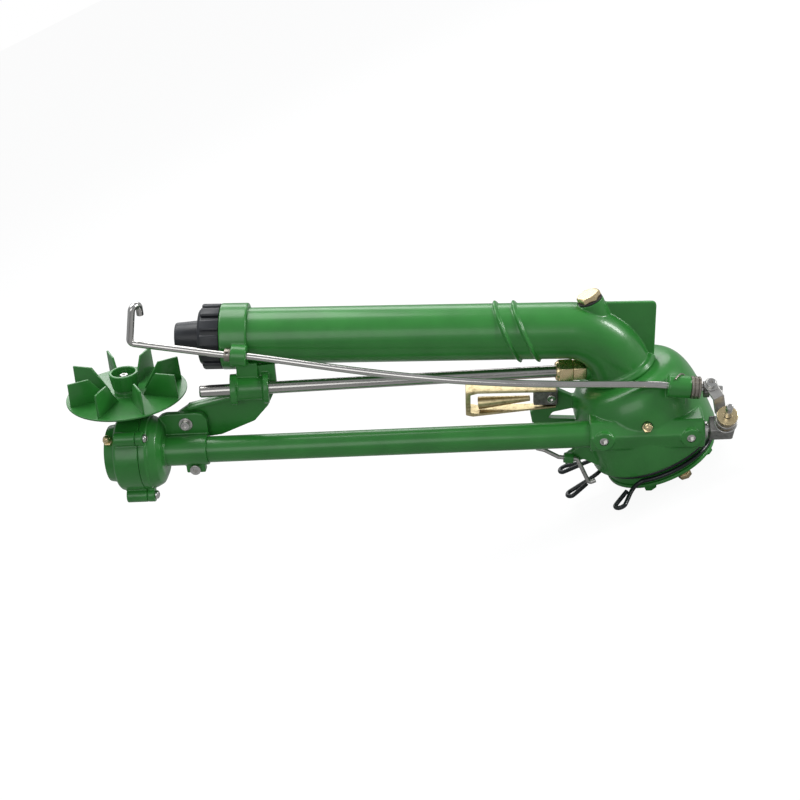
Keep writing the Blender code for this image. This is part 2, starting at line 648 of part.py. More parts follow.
def drum_housing(frames):
    root = frames["root"]
    drive = frames["drive"]
    outline = dome_profile() + [(0, DOME_TOP), (0, DRUM_BOTTOM)]
    drum = piece("drum_housing", turned(outline, 32), "green", root)
    section = [(z, -y) for y, z in block_section()]
    block = piece("shaft_block", prism(section, -BLOCK_HALF_LENGTH, BLOCK_HALF_LENGTH), None, drive, X_AXIS)
    bevel = block.modifiers.new("chamfer", "BEVEL")
    bevel.width = 2.5 * MM
    bevel.segments = 1
    bevel.limit_method = "ANGLE"
    bevel.angle_limit = math.radians(60)
    join(drum, block)
    for name, station in (("left", 48 * MM), ("right", -47.7 * MM)):
        boss = rod_form(11 * MM, 8 * MM, BLOCK_RADIUS + 0.6 * MM, 24)
        join(drum, piece("screw_boss_" + name, boss, None, drive, along((station, 0, 0), (0, 1, 0))))
    rear = frames["rod"]
    boss = rod_form(REAR_BOSS_RADIUS, -9 * MM, REAR_BOSS_END, 32)
    join(drum, piece("rear_rod_boss", boss, None, rear, X_AXIS))
    web = rounded_box((22 * MM, 16 * MM, 26 * MM), (4 * MM, -12 * MM, -10 * MM), 0)
    join(drum, piece("rear_boss_web", web, None, rear))
    join(drum, trip_bracket(root), spreader_bracket(root))
    cavity = turned([(0, DRUM_BOTTOM - OVERRUN), (DRUM_RADIUS - DRUM_WALL, DRUM_BOTTOM - OVERRUN),
                     (DRUM_RADIUS - DRUM_WALL, CAVITY_TOP - 10 * MM), (DRUM_RADIUS - 16 * MM, CAVITY_TOP),
                     (0, CAVITY_TOP)], 20)
    passage = turned([(0, CAVITY_TOP - OVERRUN), (BUSH_RADIUS, CAVITY_TOP - OVERRUN), (BUSH_RADIUS, CHAMBER_FLOOR),
                      (CHAMBER_RADIUS, CHAMBER_FLOOR), (CHAMBER_RADIUS, DOME_TOP + OVERRUN),
                      (0, DOME_TOP + OVERRUN)], 28)
    bore = turned(shaft_bore_profile(), 24)
    rod_bore = rod_form(ROD_RADIUS + GAP, -40 * MM, 40 * MM, 24)
    cut(drum, piece("drum_cavity", cavity, None, root), piece("drum_passage", passage, None, root),
        piece("shaft_bore", bore, None, drive, X_AXIS), piece("rear_rod_bore", rod_bore, None, rear, X_AXIS))
    for name, station in (("left", 48 * MM), ("right", -47.7 * MM)):
        hole = rod_form(3.6 * MM, BLOCK_RADIUS - 4 * MM, BLOCK_RADIUS + 5 * MM, 16)
        cut(drum, piece("screw_hole_" + name, hole, None, drive, along((station, 0, 0), (0, 1, 0))))
    pivot_bore = rod_form(SPREADER_SCREW + GAP, -40 * MM, 20 * MM, 20)
    cut(drum, piece("pivot_bore", pivot_bore, None, frames["spreader"], along((0, 0, 0), (0, 1, 0))))
    seat = NIPPLE_SEATS[1]
    spot_face = rod_form(NIPPLE_SPOT_FACE, 0, 20 * MM, 20)
    cut(drum, piece("nipple_spot_face", spot_face, None, drive, nipple_place(*seat[1:])))
    eye_bore = rod_form(TRIP_WIRE + GAP, -30 * MM, 30 * MM, 16)
    cut(drum, piece("trip_eye_bore", eye_bore, None, frames["trip"]))


def shaft_bore_profile():
    """Bore through the block: tube socket, bush seat, worm pocket, bush seat."""
    seat = SHAFT_RADIUS + 4.5 * MM
    pocket = WORM_RADIUS + 6 * MM
    half = WORM_HALF_LENGTH + 6 * MM
    end = BLOCK_HALF_LENGTH + OVERRUN
    socket = BLOCK_HALF_LENGTH - TUBE_INSERT
    return [(0, -end), (seat, -end), (seat, -half), (pocket, -half), (pocket, half), (seat, half),
            (seat, socket), (TUBE_RADIUS + GAP, socket), (TUBE_RADIUS + GAP, end), (0, end)]


def trip_bracket(root):
    """Cheek low on the drum whose end carries the trip lever's eye."""
    outline = [(-97, 77), (-101, 67), (-79, 64), (-69, 51), (-50, 50), (-50, 84), (-72, 82)]
    plate = piece("trip_bracket", prism([(x * MM, z * MM) for x, z in outline], 27 * MM, 36 * MM), None, root, UPRIGHT)
    eye = rod_form(EYE_BOSS_RADIUS, -EYE_BOSS_LENGTH / 2, EYE_BOSS_LENGTH / 2, 24)
    join(plate, piece("trip_eye_boss", eye, None, root, along(TRIP_EYE, TRIP_END - TRIP_EYE)))
    return plate


def spreader_bracket(root):
    """Two struts that reach out under the barrel, with an ear for the spreader's screw."""
    outer = [(-40, 112), (-66, 123), (-76, 135), (-84, 145), (-97, 141), (-101, 127), (-108, 126), (-118, 123),
             (-121, 110), (-108, 98), (-72, 80), (-40, 72)]
    window = [(-70, 108), (-94, 113), (-102, 108), (-72, 93)]
    near = -SPREADER_PIVOT.y + SPREADER_DEPTH / 2 + GAP
    plate = piece("spreader_bracket", prism([(x * MM, z * MM) for x, z in outer], -near - BRACKET_THICKNESS, -near),
                  None, root, UPRIGHT)
    cut(plate, piece("bracket_window", prism([(x * MM, z * MM) for x, z in window], -60 * MM, 20 * MM), None, root,
                     UPRIGHT))
    return plate


def drum_seal(frames):
    outer = DRUM_RADIUS - DRUM_WALL - 1 * MM
    inner = NECK_RADIUS + GAP
    low = DRUM_BOTTOM + 1 * MM
    piece("drum_seal", ring_form(outer, inner, low, low + 6 * MM, 28), "rubber", frames["root"])


# Elbow

def elbow_points(steps=6):
    tangent = ELBOW_BEND * math.tan((math.pi / 2 - BARREL_RISE) / 2)
    foot = Vector((0, 0, CHAMBER_FLOOR + 20 * MM))
    rise_end = Vector((0, 0, AXES_CROSS_HEIGHT - tangent))
    centre = rise_end + Vector((-ELBOW_BEND, 0, 0))
    bend = arc(centre, rise_end, Vector((0, 1, 0)), -(math.pi / 2 - BARREL_RISE), steps)
    reach = Vector((-math.cos(BARREL_RISE), 0, math.sin(BARREL_RISE)))
    end = Vector((0, 0, AXES_CROSS_HEIGHT)) + reach * ELBOW_STATION
    return [foot, Vector((0, 0, DOME_TOP + 6 * MM))] + bend + [end]


def riser_elbow(frames):
    root = frames["root"]
    barrel = frames["barrel"]
    points = elbow_points()
    last = len(points) - 1
    radii = [RISER_RADIUS + (BARREL_RADIUS - RISER_RADIUS) * min(i / (last - 1), 1) for i in range(last + 1)]
    elbow = piece("riser_elbow", swept(points, radii, 28), "green", root)
    ends = [points[0] - Vector((0, 0, OVERRUN))] + points[1:-1]
    ends.append(points[-1] + (points[-1] - points[-2]).normalized() * OVERRUN)
    bore = [SLEEVE_BORE + (BARREL_RADIUS - BARREL_WALL - SLEEVE_BORE) * i / last for i in range(last + 1)]
    neck = piece("elbow_bore", swept(ends, bore, 16), None, root)
    bead_low = DOME_TOP + GAP
    bead = turned([(RISER_RADIUS - 4 * MM, bead_low), (RISER_RADIUS + RISER_BEAD, bead_low),
                   (RISER_RADIUS + RISER_BEAD, bead_low + 4 * MM), (RISER_RADIUS - 4 * MM, bead_low + 9 * MM)], 28)
    join(elbow, piece("riser_bead", bead, None, root))
    top = rod_form(PLUG_BOSS_RADIUS, AXES_CROSS_HEIGHT + 8 * MM, PLUG_BOSS_TOP, 24)
    join(elbow, piece("plug_boss", top, None, root))
    join(elbow, fin(barrel))
    socket = jet_tube_frame()
    boss = rod_form(13.5 * MM, -62 * MM, -31 * MM, 20, 12.5 * MM)
    join(elbow, piece("fitting_boss", boss, None, barrel, socket))
    for i, station in enumerate(RIB_STATIONS):
        rib = turned([(BARREL_RADIUS - 3 * MM, -2.8 * MM), (BARREL_RADIUS + RIB_HEIGHT, -1.2 * MM),
                      (BARREL_RADIUS + RIB_HEIGHT, 1.2 * MM), (BARREL_RADIUS - 3 * MM, 2.8 * MM)], 20)
        shear = Matrix(((1, 0, math.tan(BARREL_RISE), station), (0, 1, 0, 0), (0, 0, 1, 0), (0, 0, 0, 1)))
        bmesh.ops.transform(rib, matrix=X_AXIS, verts=rib.verts)
        bmesh.ops.transform(rib, matrix=shear, verts=rib.verts)
        join(elbow, piece("elbow_rib_%d" % i, rib, None, barrel))
    cut(elbow, neck)
    spot = rod_form(PLUG_BOSS_RADIUS + 0.6 * MM, PLUG_BOSS_TOP, PLUG_BOSS_TOP + 30 * MM, 20)
    cut(elbow, piece("plug_spot_face", spot, None, root))
    pocket = rod_form(FITTING_HEX * 0.6, -31 * MM, 20 * MM, 20)
    cut(elbow, piece("fitting_spot_face", pocket, None, barrel, socket))
    cut(elbow, piece("plug_hole", rod_form(7 * MM, AXES_CROSS_HEIGHT, PLUG_BOSS_TOP + OVERRUN, 24), None, root))
    cut(elbow, piece("fitting_hole", rod_form(JET_TUBE_BORE, -90 * MM, 0, 20), None, barrel, socket))


def fin(barrel):
    low = -30 * MM
    bm = rounded_box((FIN_BACK - 4 * MM, FIN_THICKNESS, FIN_TOP - low),
                     (-(FIN_BACK + 4 * MM) / 2, 0, (FIN_TOP + low) / 2), 0)
    corners = [e for e in bm.edges if abs(e.verts[0].co.y - e.verts[1].co.y) > 1e-4]
    bmesh.ops.bevel(bm, geom=corners, offset=5 * MM, segments=3, profile=0.5, affect="EDGES")
    return piece("elbow_fin", bm, None, barrel)


def elbow_plug(frames):
    base = PLUG_BOSS_TOP + GAP
    ring = ring_form(PLUG_BOSS_RADIUS - 0.5 * MM, 6.8 * MM, base, base + 2 * MM)
    piece("plug_washer", ring, "rubber", frames["root"])
    head_low = base + 2 * MM + GAP
    head = piece("elbow_plug", prism(hexagon(PLUG_HEX), head_low, head_low + PLUG_HEIGHT), "brass", frames["root"])
    join(head, piece("plug_thread", rod_form(6.5 * MM, base - 9 * MM, head_low + 1 * MM, 24), None, frames["root"]))
    crown = rod_form(PLUG_HEX * 0.62, head_low - 12 * MM, head_low + PLUG_HEIGHT, 18, PLUG_HEX * 0.47)
    trim_to = piece("plug_crown", crown, None, frames["root"])
    trim(head, trim_to)


# Barrel and nozzle

def barrel_tube(frames):
    start = ELBOW_STATION + GAP
    end = CLAMP_STATION + CLAMP_WIDTH - 2 * MM
    tube = ring_form(BARREL_RADIUS, BARREL_RADIUS - BARREL_WALL, start, end, 36)
    piece("barrel", tube, "green", frames["barrel"], X_AXIS)


def flow_straightener(frames):
    """Cross vanes in a thin ring, which calm the water before the nozzle."""
    outer = BARREL_RADIUS - BARREL_WALL - GAP
    start = ELBOW_STATION + 20 * MM
    rim = piece("flow_straightener", ring_form(outer, outer - VANE_THICKNESS, start, start + VANE_LENGTH, 24),
                "steel", frames["barrel"], X_AXIS)
    for i in range(3):
        vane = rounded_box((2 * outer - VANE_THICKNESS, VANE_THICKNESS, VANE_LENGTH - 2 * MM),
                           (0, 0, start + VANE_LENGTH / 2), 0)
        place = X_AXIS @ Matrix.Rotation(math.pi * i / 3, 4, "Z")
        join(rim, piece("vane_%d" % i, vane, None, frames["barrel"], place))


def clamp_casting(frames):
    """One casting on the barrel's end: ring, breaker rod boss, jet tube spool and gearbox arm."""
    barrel = frames["barrel"]
    outer = CLAMP_WIDTH + CLAMP_STATION
    step = CLAMP_STATION + 8 * MM
    ring = turned([(0, CLAMP_STATION), (35.6 * MM, CLAMP_STATION), (35.6 * MM, step), (37.6 * MM, step + 1 * MM),
                   (37.6 * MM, outer - 1 * MM), (36.6 * MM, outer), (0, outer)], 28)
    clamp = piece("clamp_casting", ring, "green", barrel, X_AXIS)
    rod = frames["rod"]
    rod_at = (ROD_FRONT - ROD_REAR).length
    boss = rod_form(ROD_BOSS_RADIUS, rod_at - 13 * MM, rod_at + 4.4 * MM, 20)
    join(clamp, piece("rod_boss", boss, None, rod, X_AXIS))
    axis = jet_tube_frame()
    run = (JET_TUBE_END - JET_TUBE_START).length
    spool = turned(spool_profile(run - 78 * MM), 20)
    join(clamp, piece("tube_spool", spool, None, barrel, axis))
    join(clamp, piece("spool_neck", rounded_box((24 * MM, 15 * MM, 34 * MM), (402 * MM, 22 * MM, -38 * MM), 0), None,
                      barrel))
    arm = [(489, -86), (472, -74), (422, -60), (398, -48), (390, -26), (371, -24), (370, -52), (381.5, -76),
           (398, -95), (437, -112), (462, -116), (486, -104)]
    plate = prism([(x * MM, z * MM) for x, z in arm], -25 * MM, -18 * MM)
    join(clamp, piece("gearbox_arm", plate, None, barrel, UPRIGHT))
    flange = rounded_box((62 * MM, 9.2 * MM, 4 * MM), (0, 0, 0), 0)
    tilt = Matrix.Translation((443 * MM, 21.4 * MM, -69.3 * MM)) @ Matrix.Rotation(math.radians(13.5), 4, "Y")
    join(clamp, piece("arm_flange", flange, None, barrel, tilt))
    tube_bore = rod_form(JET_TUBE_RADIUS + GAP, run - 94 * MM, run - 6 * MM, 20)
    cut(clamp, piece("spool_bore", tube_bore, None, barrel, axis))
    bore = rod_form(BARREL_RADIUS + GAP, CLAMP_STATION - 45 * MM, outer + OVERRUN, 28)
    cut(clamp, piece("clamp_bore", bore, None, barrel, X_AXIS))
    rod_bore = rod_form(ROD_RADIUS + GAP, rod_at - 30 * MM, rod_at + 20 * MM, 24)
    cut(clamp, piece("front_rod_bore", rod_bore, None, rod, X_AXIS))


def jet_tube_frame():
    """Local matrix in the barrel frame: Z runs along the jet tube to its free end."""
    return along(JET_TUBE_START, JET_TUBE_END - JET_TUBE_START, (0, 0, 1))


def spool_profile(low):
    disc = 15.3 * MM
    core = 13.4 * MM
    return [(0, low), (disc, low), (disc, low + 6 * MM), (core, low + 7 * MM), (core, low + 35 * MM),
            (disc, low + 36 * MM), (disc, low + 43 * MM), (0, low + 43 * MM)]


def nozzle_nut(frames):
    """Lobed ring nut that draws the nozzle against the barrel's end."""
    start = CLAMP_STATION + CLAMP_WIDTH + GAP
    outline = []
    for i in range(NUT_LOBES):
        for share, radius in ((0.08, NUT_RADIUS - 2.6 * MM), (0.22, NUT_RADIUS), (0.78, NUT_RADIUS),
                              (0.92, NUT_RADIUS - 2.6 * MM)):
            turn = math.tau * (i + share) / NUT_LOBES
            outline.append((radius * math.cos(turn), radius * math.sin(turn)))
    barrel = frames["barrel"]
    nut = piece("nozzle_nut", prism(outline, start, start + NUT_WIDTH - 4 * MM), "black", barrel, X_AXIS)
    face = turned([(0, start), (NUT_RADIUS - 3 * MM, start), (NUT_RADIUS - 3 * MM, start + NUT_WIDTH - 4 * MM),
                   (NUT_RADIUS - 7 * MM, start + NUT_WIDTH), (0, start + NUT_WIDTH)], 28)
    join(nut, piece("nut_face", face, None, barrel, X_AXIS))
    seat = turned([(0, start - OVERRUN), (30 * MM, start - OVERRUN), (30 * MM, start + 16 * MM),
                   (NOZZLE_ROOT_RADIUS + 1.2 * MM, start + 19 * MM),
                   (NOZZLE_ROOT_RADIUS + 1.2 * MM, start + NUT_WIDTH + OVERRUN), (0, start + NUT_WIDTH + OVERRUN)], 24)
    cut(nut, piece("nut_bore", seat, None, barrel, X_AXIS))


def nozzle_cone(frames):
    start = CLAMP_STATION + CLAMP_WIDTH + GAP
    nut_end = start + NUT_WIDTH
    tip = nut_end + NOZZLE_LENGTH
    flange = 30 * MM - GAP
    profile = [(26 * MM, start), (flange, start), (flange, start + 5 * MM),
               (NOZZLE_ROOT_RADIUS + 1 * MM - GAP, start + 17 * MM), (NOZZLE_ROOT_RADIUS, nut_end),
               (NOZZLE_TIP_RADIUS + 0.5 * MM, tip - 4 * MM), (NOZZLE_TIP_RADIUS, tip - 1 * MM),
               (NOZZLE_TIP_RADIUS - 1 * MM, tip), (NOZZLE_BORE, tip), (NOZZLE_BORE, tip - 6 * MM),
               (NOZZLE_THROAT, start + NOZZLE_FLARE)]
    piece("nozzle_cone", turned(profile, 24), "black", frames["barrel"], X_AXIS)


# Jet tube

def jet_tube(frames):
    run = (JET_TUBE_END - JET_TUBE_START).length
    profile = [(JET_TUBE_BORE, 2 * MM), (JET_TUBE_RADIUS, 2 * MM), (JET_TUBE_RADIUS, run - 2 * MM),
               (JET_TUBE_RADIUS - 1.2 * MM, run), (JET_TUBE_BORE, run)]
    piece("jet_tube", turned(profile, 20), "steel", frames["barrel"], jet_tube_frame())


def tube_fitting(frames):
    """Brass body in the elbow's boss and the compression nut that grips the tube."""
    barrel = frames["barrel"]
    at = jet_tube_frame()
    body = piece("fitting_body", prism(hexagon(FITTING_HEX - 2 * MM), -30.7 * MM, -16 * MM), "brass", barrel, at)
    cut(body, piece("fitting_body_bore", rod_form(JET_TUBE_BORE, -40 * MM, 0, 24), None, barrel, at))
    nut = piece("fitting_nut", prism(hexagon(FITTING_HEX), -15.7 * MM, 8 * MM), "brass", barrel, at)
    bore = turned([(0, -20 * MM), (JET_TUBE_BORE, -20 * MM), (JET_TUBE_BORE, 1.7 * MM), (JET_TUBE_RADIUS + GAP, 1.7 * MM),
                   (JET_TUBE_RADIUS + GAP, 12 * MM), (0, 12 * MM)], 28)
    cut(nut, piece("fitting_nut_bore", bore, None, barrel, at))


# Drive shaft line

def drive_tube(frames):
    start = BLOCK_HALF_LENGTH - TUBE_INSERT + GAP
    end = SOCKET_STATION + 36 * MM
    piece("drive_tube", ring_form(TUBE_RADIUS, TUBE_BORE, start, end, 24), "green", frames["drive"], X_AXIS)


def drive_shaft(frames):
    """Long shaft with the rear worm cut on it, a thrust collar and the eccentric pin at its rear."""
    drive = frames["drive"]
    end = GEARBOX_JOINT + GEARBOX_FRONT_DEPTH + GEARBOX_BOSS_DEPTH - 5 * MM
    low = STRAP_STATION + STRAP_LENGTH / 2 + 1.5 * MM
    collar = -BLOCK_HALF_LENGTH - 0.5 * MM
    bite = WORM_HALF_LENGTH - 1 * MM
    rear = [(0, low), (9.5 * MM, low), (9.5 * MM, collar), (SHAFT_RADIUS, collar), (SHAFT_RADIUS, -bite), (0, -bite)]
    front = [(0, bite), (SHAFT_RADIUS, bite), (SHAFT_RADIUS, end - 1 * MM), (SHAFT_RADIUS - 1 * MM, end), (0, end)]
    section = thread_section(WORM_RADIUS, WORM_RADIUS - WORM_THREAD, 10)
    turns = 2 * WORM_HALF_LENGTH / (math.tau * (RING_GEAR_TIP - RING_GEAR_TOOTH / 2) / RING_GEAR_TEETH)
    worm = twisted(section, -WORM_HALF_LENGTH, WORM_HALF_LENGTH, 36, turns)
    shaft = piece("drive_shaft", turned(front, 20), "steel", drive, X_AXIS)
    join(shaft, piece("rear_worm", worm, None, drive, X_AXIS), piece("rear_journal", turned(rear, 20), None, drive, X_AXIS))
    pin = rod_form(ECCENTRIC_PIN, -STRAP_LENGTH / 2 + 2.4 * MM, low + 1 * MM - STRAP_STATION, 24)
    join(shaft, piece("eccentric_pin", pin, None, frames["strap"], X_AXIS))


def thread_section(crest, root, points, phase=0.0):
    """Section of a single-start thread: crest over a third of the turn, root over a half."""
    outline = []
    for i in range(points):
        share = i / points
        off = abs(share - 0.5) * 2
        blend = min(max((off - 0.60) / 0.16, 0), 1)
        radius = root + (crest - root) * blend
        turn = math.tau * share + phase
        outline.append((radius * math.cos(turn), radius * math.sin(turn)))
    return outline


def shaft_bushes(frames):
    half = WORM_HALF_LENGTH + 6 * MM
    socket = BLOCK_HALF_LENGTH - TUBE_INSERT
    outer = SHAFT_RADIUS + 4.5 * MM - GAP
    drive = frames["drive"]
    inner = SHAFT_RADIUS + GAP
    piece("front_shaft_bush", ring_form(outer, inner, half + GAP, socket - GAP, 24), "bronze", drive, X_AXIS)
    piece("rear_shaft_bush", turned([(inner, -BLOCK_HALF_LENGTH), (outer, -BLOCK_HALF_LENGTH),
                                     (outer, -half - GAP), (inner, -half - GAP)], 24), "bronze", drive, X_AXIS)


# Gearbox

def lug_outline_tools(frames, name, low, high, hole):
    """Four screw lugs as guides, or the holes through them."""
    tools = []
    for i, turn in enumerate(LUG_ANGLES):
        centre = Vector((0, LUG_CIRCLE * math.sin(turn), LUG_CIRCLE * math.cos(turn)))
        radius = 2.8 * MM if hole else LUG_RADIUS
        form = rod_form(radius, low, high, 8 if hole else 12)
        tools.append(piece("%s_%d" % (name, i), form, None, frames["drive"], Matrix.Translation(centre) @ X_AXIS))
    return tools


def gearbox_front(frames):
    """Front half: round case with screw lugs, bearing boss and the turbine shaft's tower."""
    drive = frames["drive"]
    joint = GEARBOX_JOINT + GAP
    back = GEARBOX_JOINT + GEARBOX_FRONT_DEPTH
    nose = back + GEARBOX_BOSS_DEPTH
    profile = [(0, joint), (GEARBOX_RADIUS, joint), (GEARBOX_RADIUS, back - 3 * MM), (GEARBOX_RADIUS - 3 * MM, back),
               (GEARBOX_BOSS_RADIUS, back), (GEARBOX_BOSS_RADIUS - 2 * MM, nose), (0, nose)]
    case = piece("gearbox_front", turned(profile, 28), "green", drive, X_AXIS)
    join(case, *lug_outline_tools(frames, "front_lug", joint, joint + 24 * MM, False))
    tower = piece("turbine_tower", rod_form(13 * MM, 4 * MM, TURBINE_DISC_HEIGHT - 5 * MM, 20), None,
                  frames["turbine"])
    join(case, tower)
    cavity = turned([(0, joint - OVERRUN), (GEARBOX_CAVITY, joint - OVERRUN), (GEARBOX_CAVITY, back - 4 * MM),
                     (WHEEL_JOURNAL + GAP, back - 4 * MM), (WHEEL_JOURNAL + GAP, nose - 3 * MM),
                     (0, nose - 3 * MM)], 24)
    cut(case, piece("front_cavity", cavity, None, drive, X_AXIS))
    top = TURBINE_DISC_HEIGHT - 5 * MM
    well = turned([(0, -31 * MM), (TURBINE_SHAFT_RADIUS + GAP, -31 * MM), (TURBINE_SHAFT_RADIUS + GAP, 10 * MM),
                   (9 * MM, 10 * MM), (9 * MM, top + OVERRUN), (0, top + OVERRUN)], 20)
    cut(case, piece("turbine_well", well, None, frames["turbine"]))
    cut(case, *lug_outline_tools(frames, "front_lug_hole", joint - OVERRUN, joint + 8 * MM, True))


def gearbox_rear(frames):
    """Rear cover: flange with lugs, domed back, tube socket and the two clamp lugs."""
    drive = frames["drive"]
    joint = GEARBOX_JOINT
    flange = joint - 8 * MM
    profile = [(0, joint), (0, flange - 15 * MM), (24 * MM, flange - 15 * MM), (33 * MM, flange - 11 * MM),
               (40 * MM, flange - 4 * MM), (41.5 * MM, flange), (GEARBOX_RADIUS, flange), (GEARBOX_RADIUS, joint)]
    cover = piece("gearbox_rear_cover", turned(profile, 28), "green", drive, X_AXIS)
    join(cover, *lug_outline_tools(frames, "rear_lug", flange, joint, False))
    socket = rod_form(TUBE_RADIUS + 2.4 * MM, SOCKET_STATION, joint - 4 * MM, 24)
    join(cover, piece("tube_socket", socket, None, drive, X_AXIS))
    ear = rounded_box((40 * MM, 8 * MM, 40 * MM), (SOCKET_STATION + 23 * MM, -13 * MM, 22 * MM), 0)
    corners = [e for e in ear.edges if abs(e.verts[0].co.y - e.verts[1].co.y) > 1e-4
               and e.verts[0].co.z > 30 * MM]
    bmesh.ops.bevel(ear, geom=corners, offset=7 * MM, segments=3, profile=0.5, affect="EDGES")
    join(cover, piece("upper_ear", ear, None, drive))
    low_ear = rounded_box((28 * MM, 12 * MM, 14 * MM), (SOCKET_STATION + 19 * MM, 3 * MM, -19 * MM), 1 * MM)
    join(cover, piece("lower_ear", low_ear, None, drive))
    cavity = turned([(0, joint + OVERRUN), (0, flange - 10 * MM), (20 * MM, flange - 10 * MM),
                     (30 * MM, flange - 5 * MM), (GEARBOX_CAVITY, flange + 1 * MM),
                     (GEARBOX_CAVITY, joint + OVERRUN)], 24)
    cut(cover, piece("rear_cavity", cavity, None, drive, X_AXIS))
    bore = turned([(0, SOCKET_STATION - OVERRUN), (TUBE_RADIUS + GAP, SOCKET_STATION - OVERRUN),
                   (TUBE_RADIUS + GAP, SOCKET_STATION + 36 * MM + GAP),
                   (SHAFT_RADIUS + 1.5 * MM, SOCKET_STATION + 36 * MM + GAP), (SHAFT_RADIUS + 1.5 * MM, joint),
                   (0, joint)], 24)
    cut(cover, piece("socket_bore", bore, None, drive, X_AXIS))
    cut(cover, *lug_outline_tools(frames, "rear_lug_hole", flange - OVERRUN, joint + OVERRUN, True))


def gearbox_cap(frames):
    nose = GEARBOX_JOINT + GEARBOX_FRONT_DEPTH + GEARBOX_BOSS_DEPTH
    cap = turned([(0, nose + GAP), (13.2 * MM, nose + GAP), (13.2 * MM, nose + 3.5 * MM), (11.5 * MM, nose + 5.5 * MM),
                  (0, nose + 5.5 * MM)], 32)
    piece("gearbox_cap", cap, "green", frames["drive"], X_AXIS)


def gearbox_screws(frames):
    """Four screws that hold the gearbox halves together, with heads behind the rear cover."""
    low = GEARBOX_JOINT - 8 * MM
    for i, turn in enumerate(LUG_ANGLES):
        centre = Vector((0, LUG_CIRCLE * math.sin(turn), LUG_CIRCLE * math.cos(turn)))
        bm = turned([(0, low - 4.6 * MM), (4 * MM, low - 4.6 * MM), (5 * MM, low - 3.4 * MM), (5 * MM, low - GAP),
                     (2.4 * MM, low - GAP), (2.4 * MM, GEARBOX_JOINT + 7 * MM), (0, GEARBOX_JOINT + 7 * MM)], 16)
        piece("gearbox_screw_%d" % (i + 1), bm, "steel", frames["drive"], Matrix.Translation(centre) @ X_AXIS)


def ear_screw(frames):
    """Screw through the socket's upper ear into the casting's arm."""
    head = turned([(0, 0), (8 * MM, 0), (8 * MM, 1.4 * MM), (5.4 * MM, 1.4 * MM), (5.4 * MM, 5.5 * MM),
                   (4.4 * MM, 6.5 * MM), (0, 6.5 * MM)], 24)
    piece("ear_screw", head, "steel", frames["drive"], along(EAR_SCREW, (0, 1, 0)))


def grease_nipples(frames):
    """Brass nipples on the gearbox boss and on the shaft block."""
    for name, root_radius, station, turn in NIPPLE_SEATS:
        bm = turned([(0, 0), (3.6 * MM, 0), (3.6 * MM, 3 * MM), (2.2 * MM, 4 * MM), (3 * MM, 7 * MM), (2 * MM, 9 * MM),
                     (0, 9 * MM)], 16)
        piece(name, bm, "brass", frames["drive"], nipple_place(root_radius + GAP, station, turn))


def nipple_place(radius, station, turn):
    outward = Vector((0, math.sin(turn), math.cos(turn)))
    return along(Vector((station, 0, 0)) + outward * radius, outward, (1, 0, 0))


def worm_wheel(frames):
    """Bronze wheel on the drive shaft, in mesh with the turbine shaft's worm."""
    lead = math.tau * WHEEL_PITCH_RADIUS / WHEEL_TEETH
    worm_pitch = WORM_CENTRES - WHEEL_PITCH_RADIUS
    slope = lead / (math.tau * worm_pitch)
    turns = slope / WHEEL_PITCH_RADIUS * WHEEL_WIDTH / math.tau
    outline = gear_outline(WHEEL_TEETH, WHEEL_TIP_RADIUS, WHEEL_ROOT_RADIUS, 0.26, 0.40)
    # a tooth gap faces the worm, which lies on the drive frame's -Y side
    facing = Matrix.Rotation(math.atan2(*reversed(to_section((-1, 0)))), 2)
    outline = [tuple(facing @ Vector(p)) for p in outline]
    low = TURBINE_STATION - WHEEL_WIDTH / 2
    wheel = piece("worm_wheel", twisted(outline, low, low + WHEEL_WIDTH, 1, turns), "bronze", frames["drive"], X_AXIS)
    nose = GEARBOX_JOINT + GEARBOX_FRONT_DEPTH + GEARBOX_BOSS_DEPTH
    hub = turned([(0, low - 6 * MM), (12 * MM, low - 6 * MM), (12 * MM, low + WHEEL_WIDTH + 2 * MM),
                  (WHEEL_JOURNAL, low + WHEEL_WIDTH + 2 * MM), (WHEEL_JOURNAL, nose - 4 * MM), (0, nose - 4 * MM)], 20)
    join(wheel, piece("wheel_hub", hub, None, frames["drive"], X_AXIS))
    cut(wheel, piece("wheel_bore", rod_form(SHAFT_RADIUS + GAP, low - 10 * MM, nose, 24), None, frames["drive"], X_AXIS))


def to_section(direction):
    """Drive-frame (Y, Z) direction as the (x, y) of a form that X_AXIS lays along the shaft."""
    vector = X_AXIS.to_3x3().inverted() @ Vector((0, direction[0], direction[1]))
    return vector.x, vector.y


# Turbine

def turbine_shaft(frames):
    """Steel shaft with the worm cut on it; it stands on its pin in the gearbox floor."""
    pitch = math.tau * WHEEL_PITCH_RADIUS / WHEEL_TEETH
    half = 11 * MM
    section = thread_section(TURBINE_WORM_RADIUS, TURBINE_WORM_ROOT, 10, math.pi / 2)
    shaft = piece("turbine_shaft", twisted(section, -half, half, 36, 2 * half / pitch), "steel", frames["turbine"])
    bite = half - 1 * MM
    top = TURBINE_DISC_HEIGHT + 20 * MM
    join(shaft, piece("lower_journal", rod_form(TURBINE_SHAFT_RADIUS, -30.5 * MM, -bite, 24), None, frames["turbine"]),
         piece("upper_journal", rod_form(TURBINE_SHAFT_RADIUS, bite, top, 24), None, frames["turbine"]))


def turbine_bushes(frames):
    top = TURBINE_DISC_HEIGHT - 5 * MM
    bush = ring_form(9 * MM - GAP, TURBINE_SHAFT_RADIUS + GAP, 34 * MM, top - 6 * MM, 28)
    piece("turbine_bush", bush, "bronze", frames["turbine"])
    seal = ring_form(9 * MM - GAP, TURBINE_SHAFT_RADIUS + GAP, top - 6 * MM + GAP, top + 1 * MM, 28)
    piece("turbine_seal", seal, "rubber", frames["turbine"])


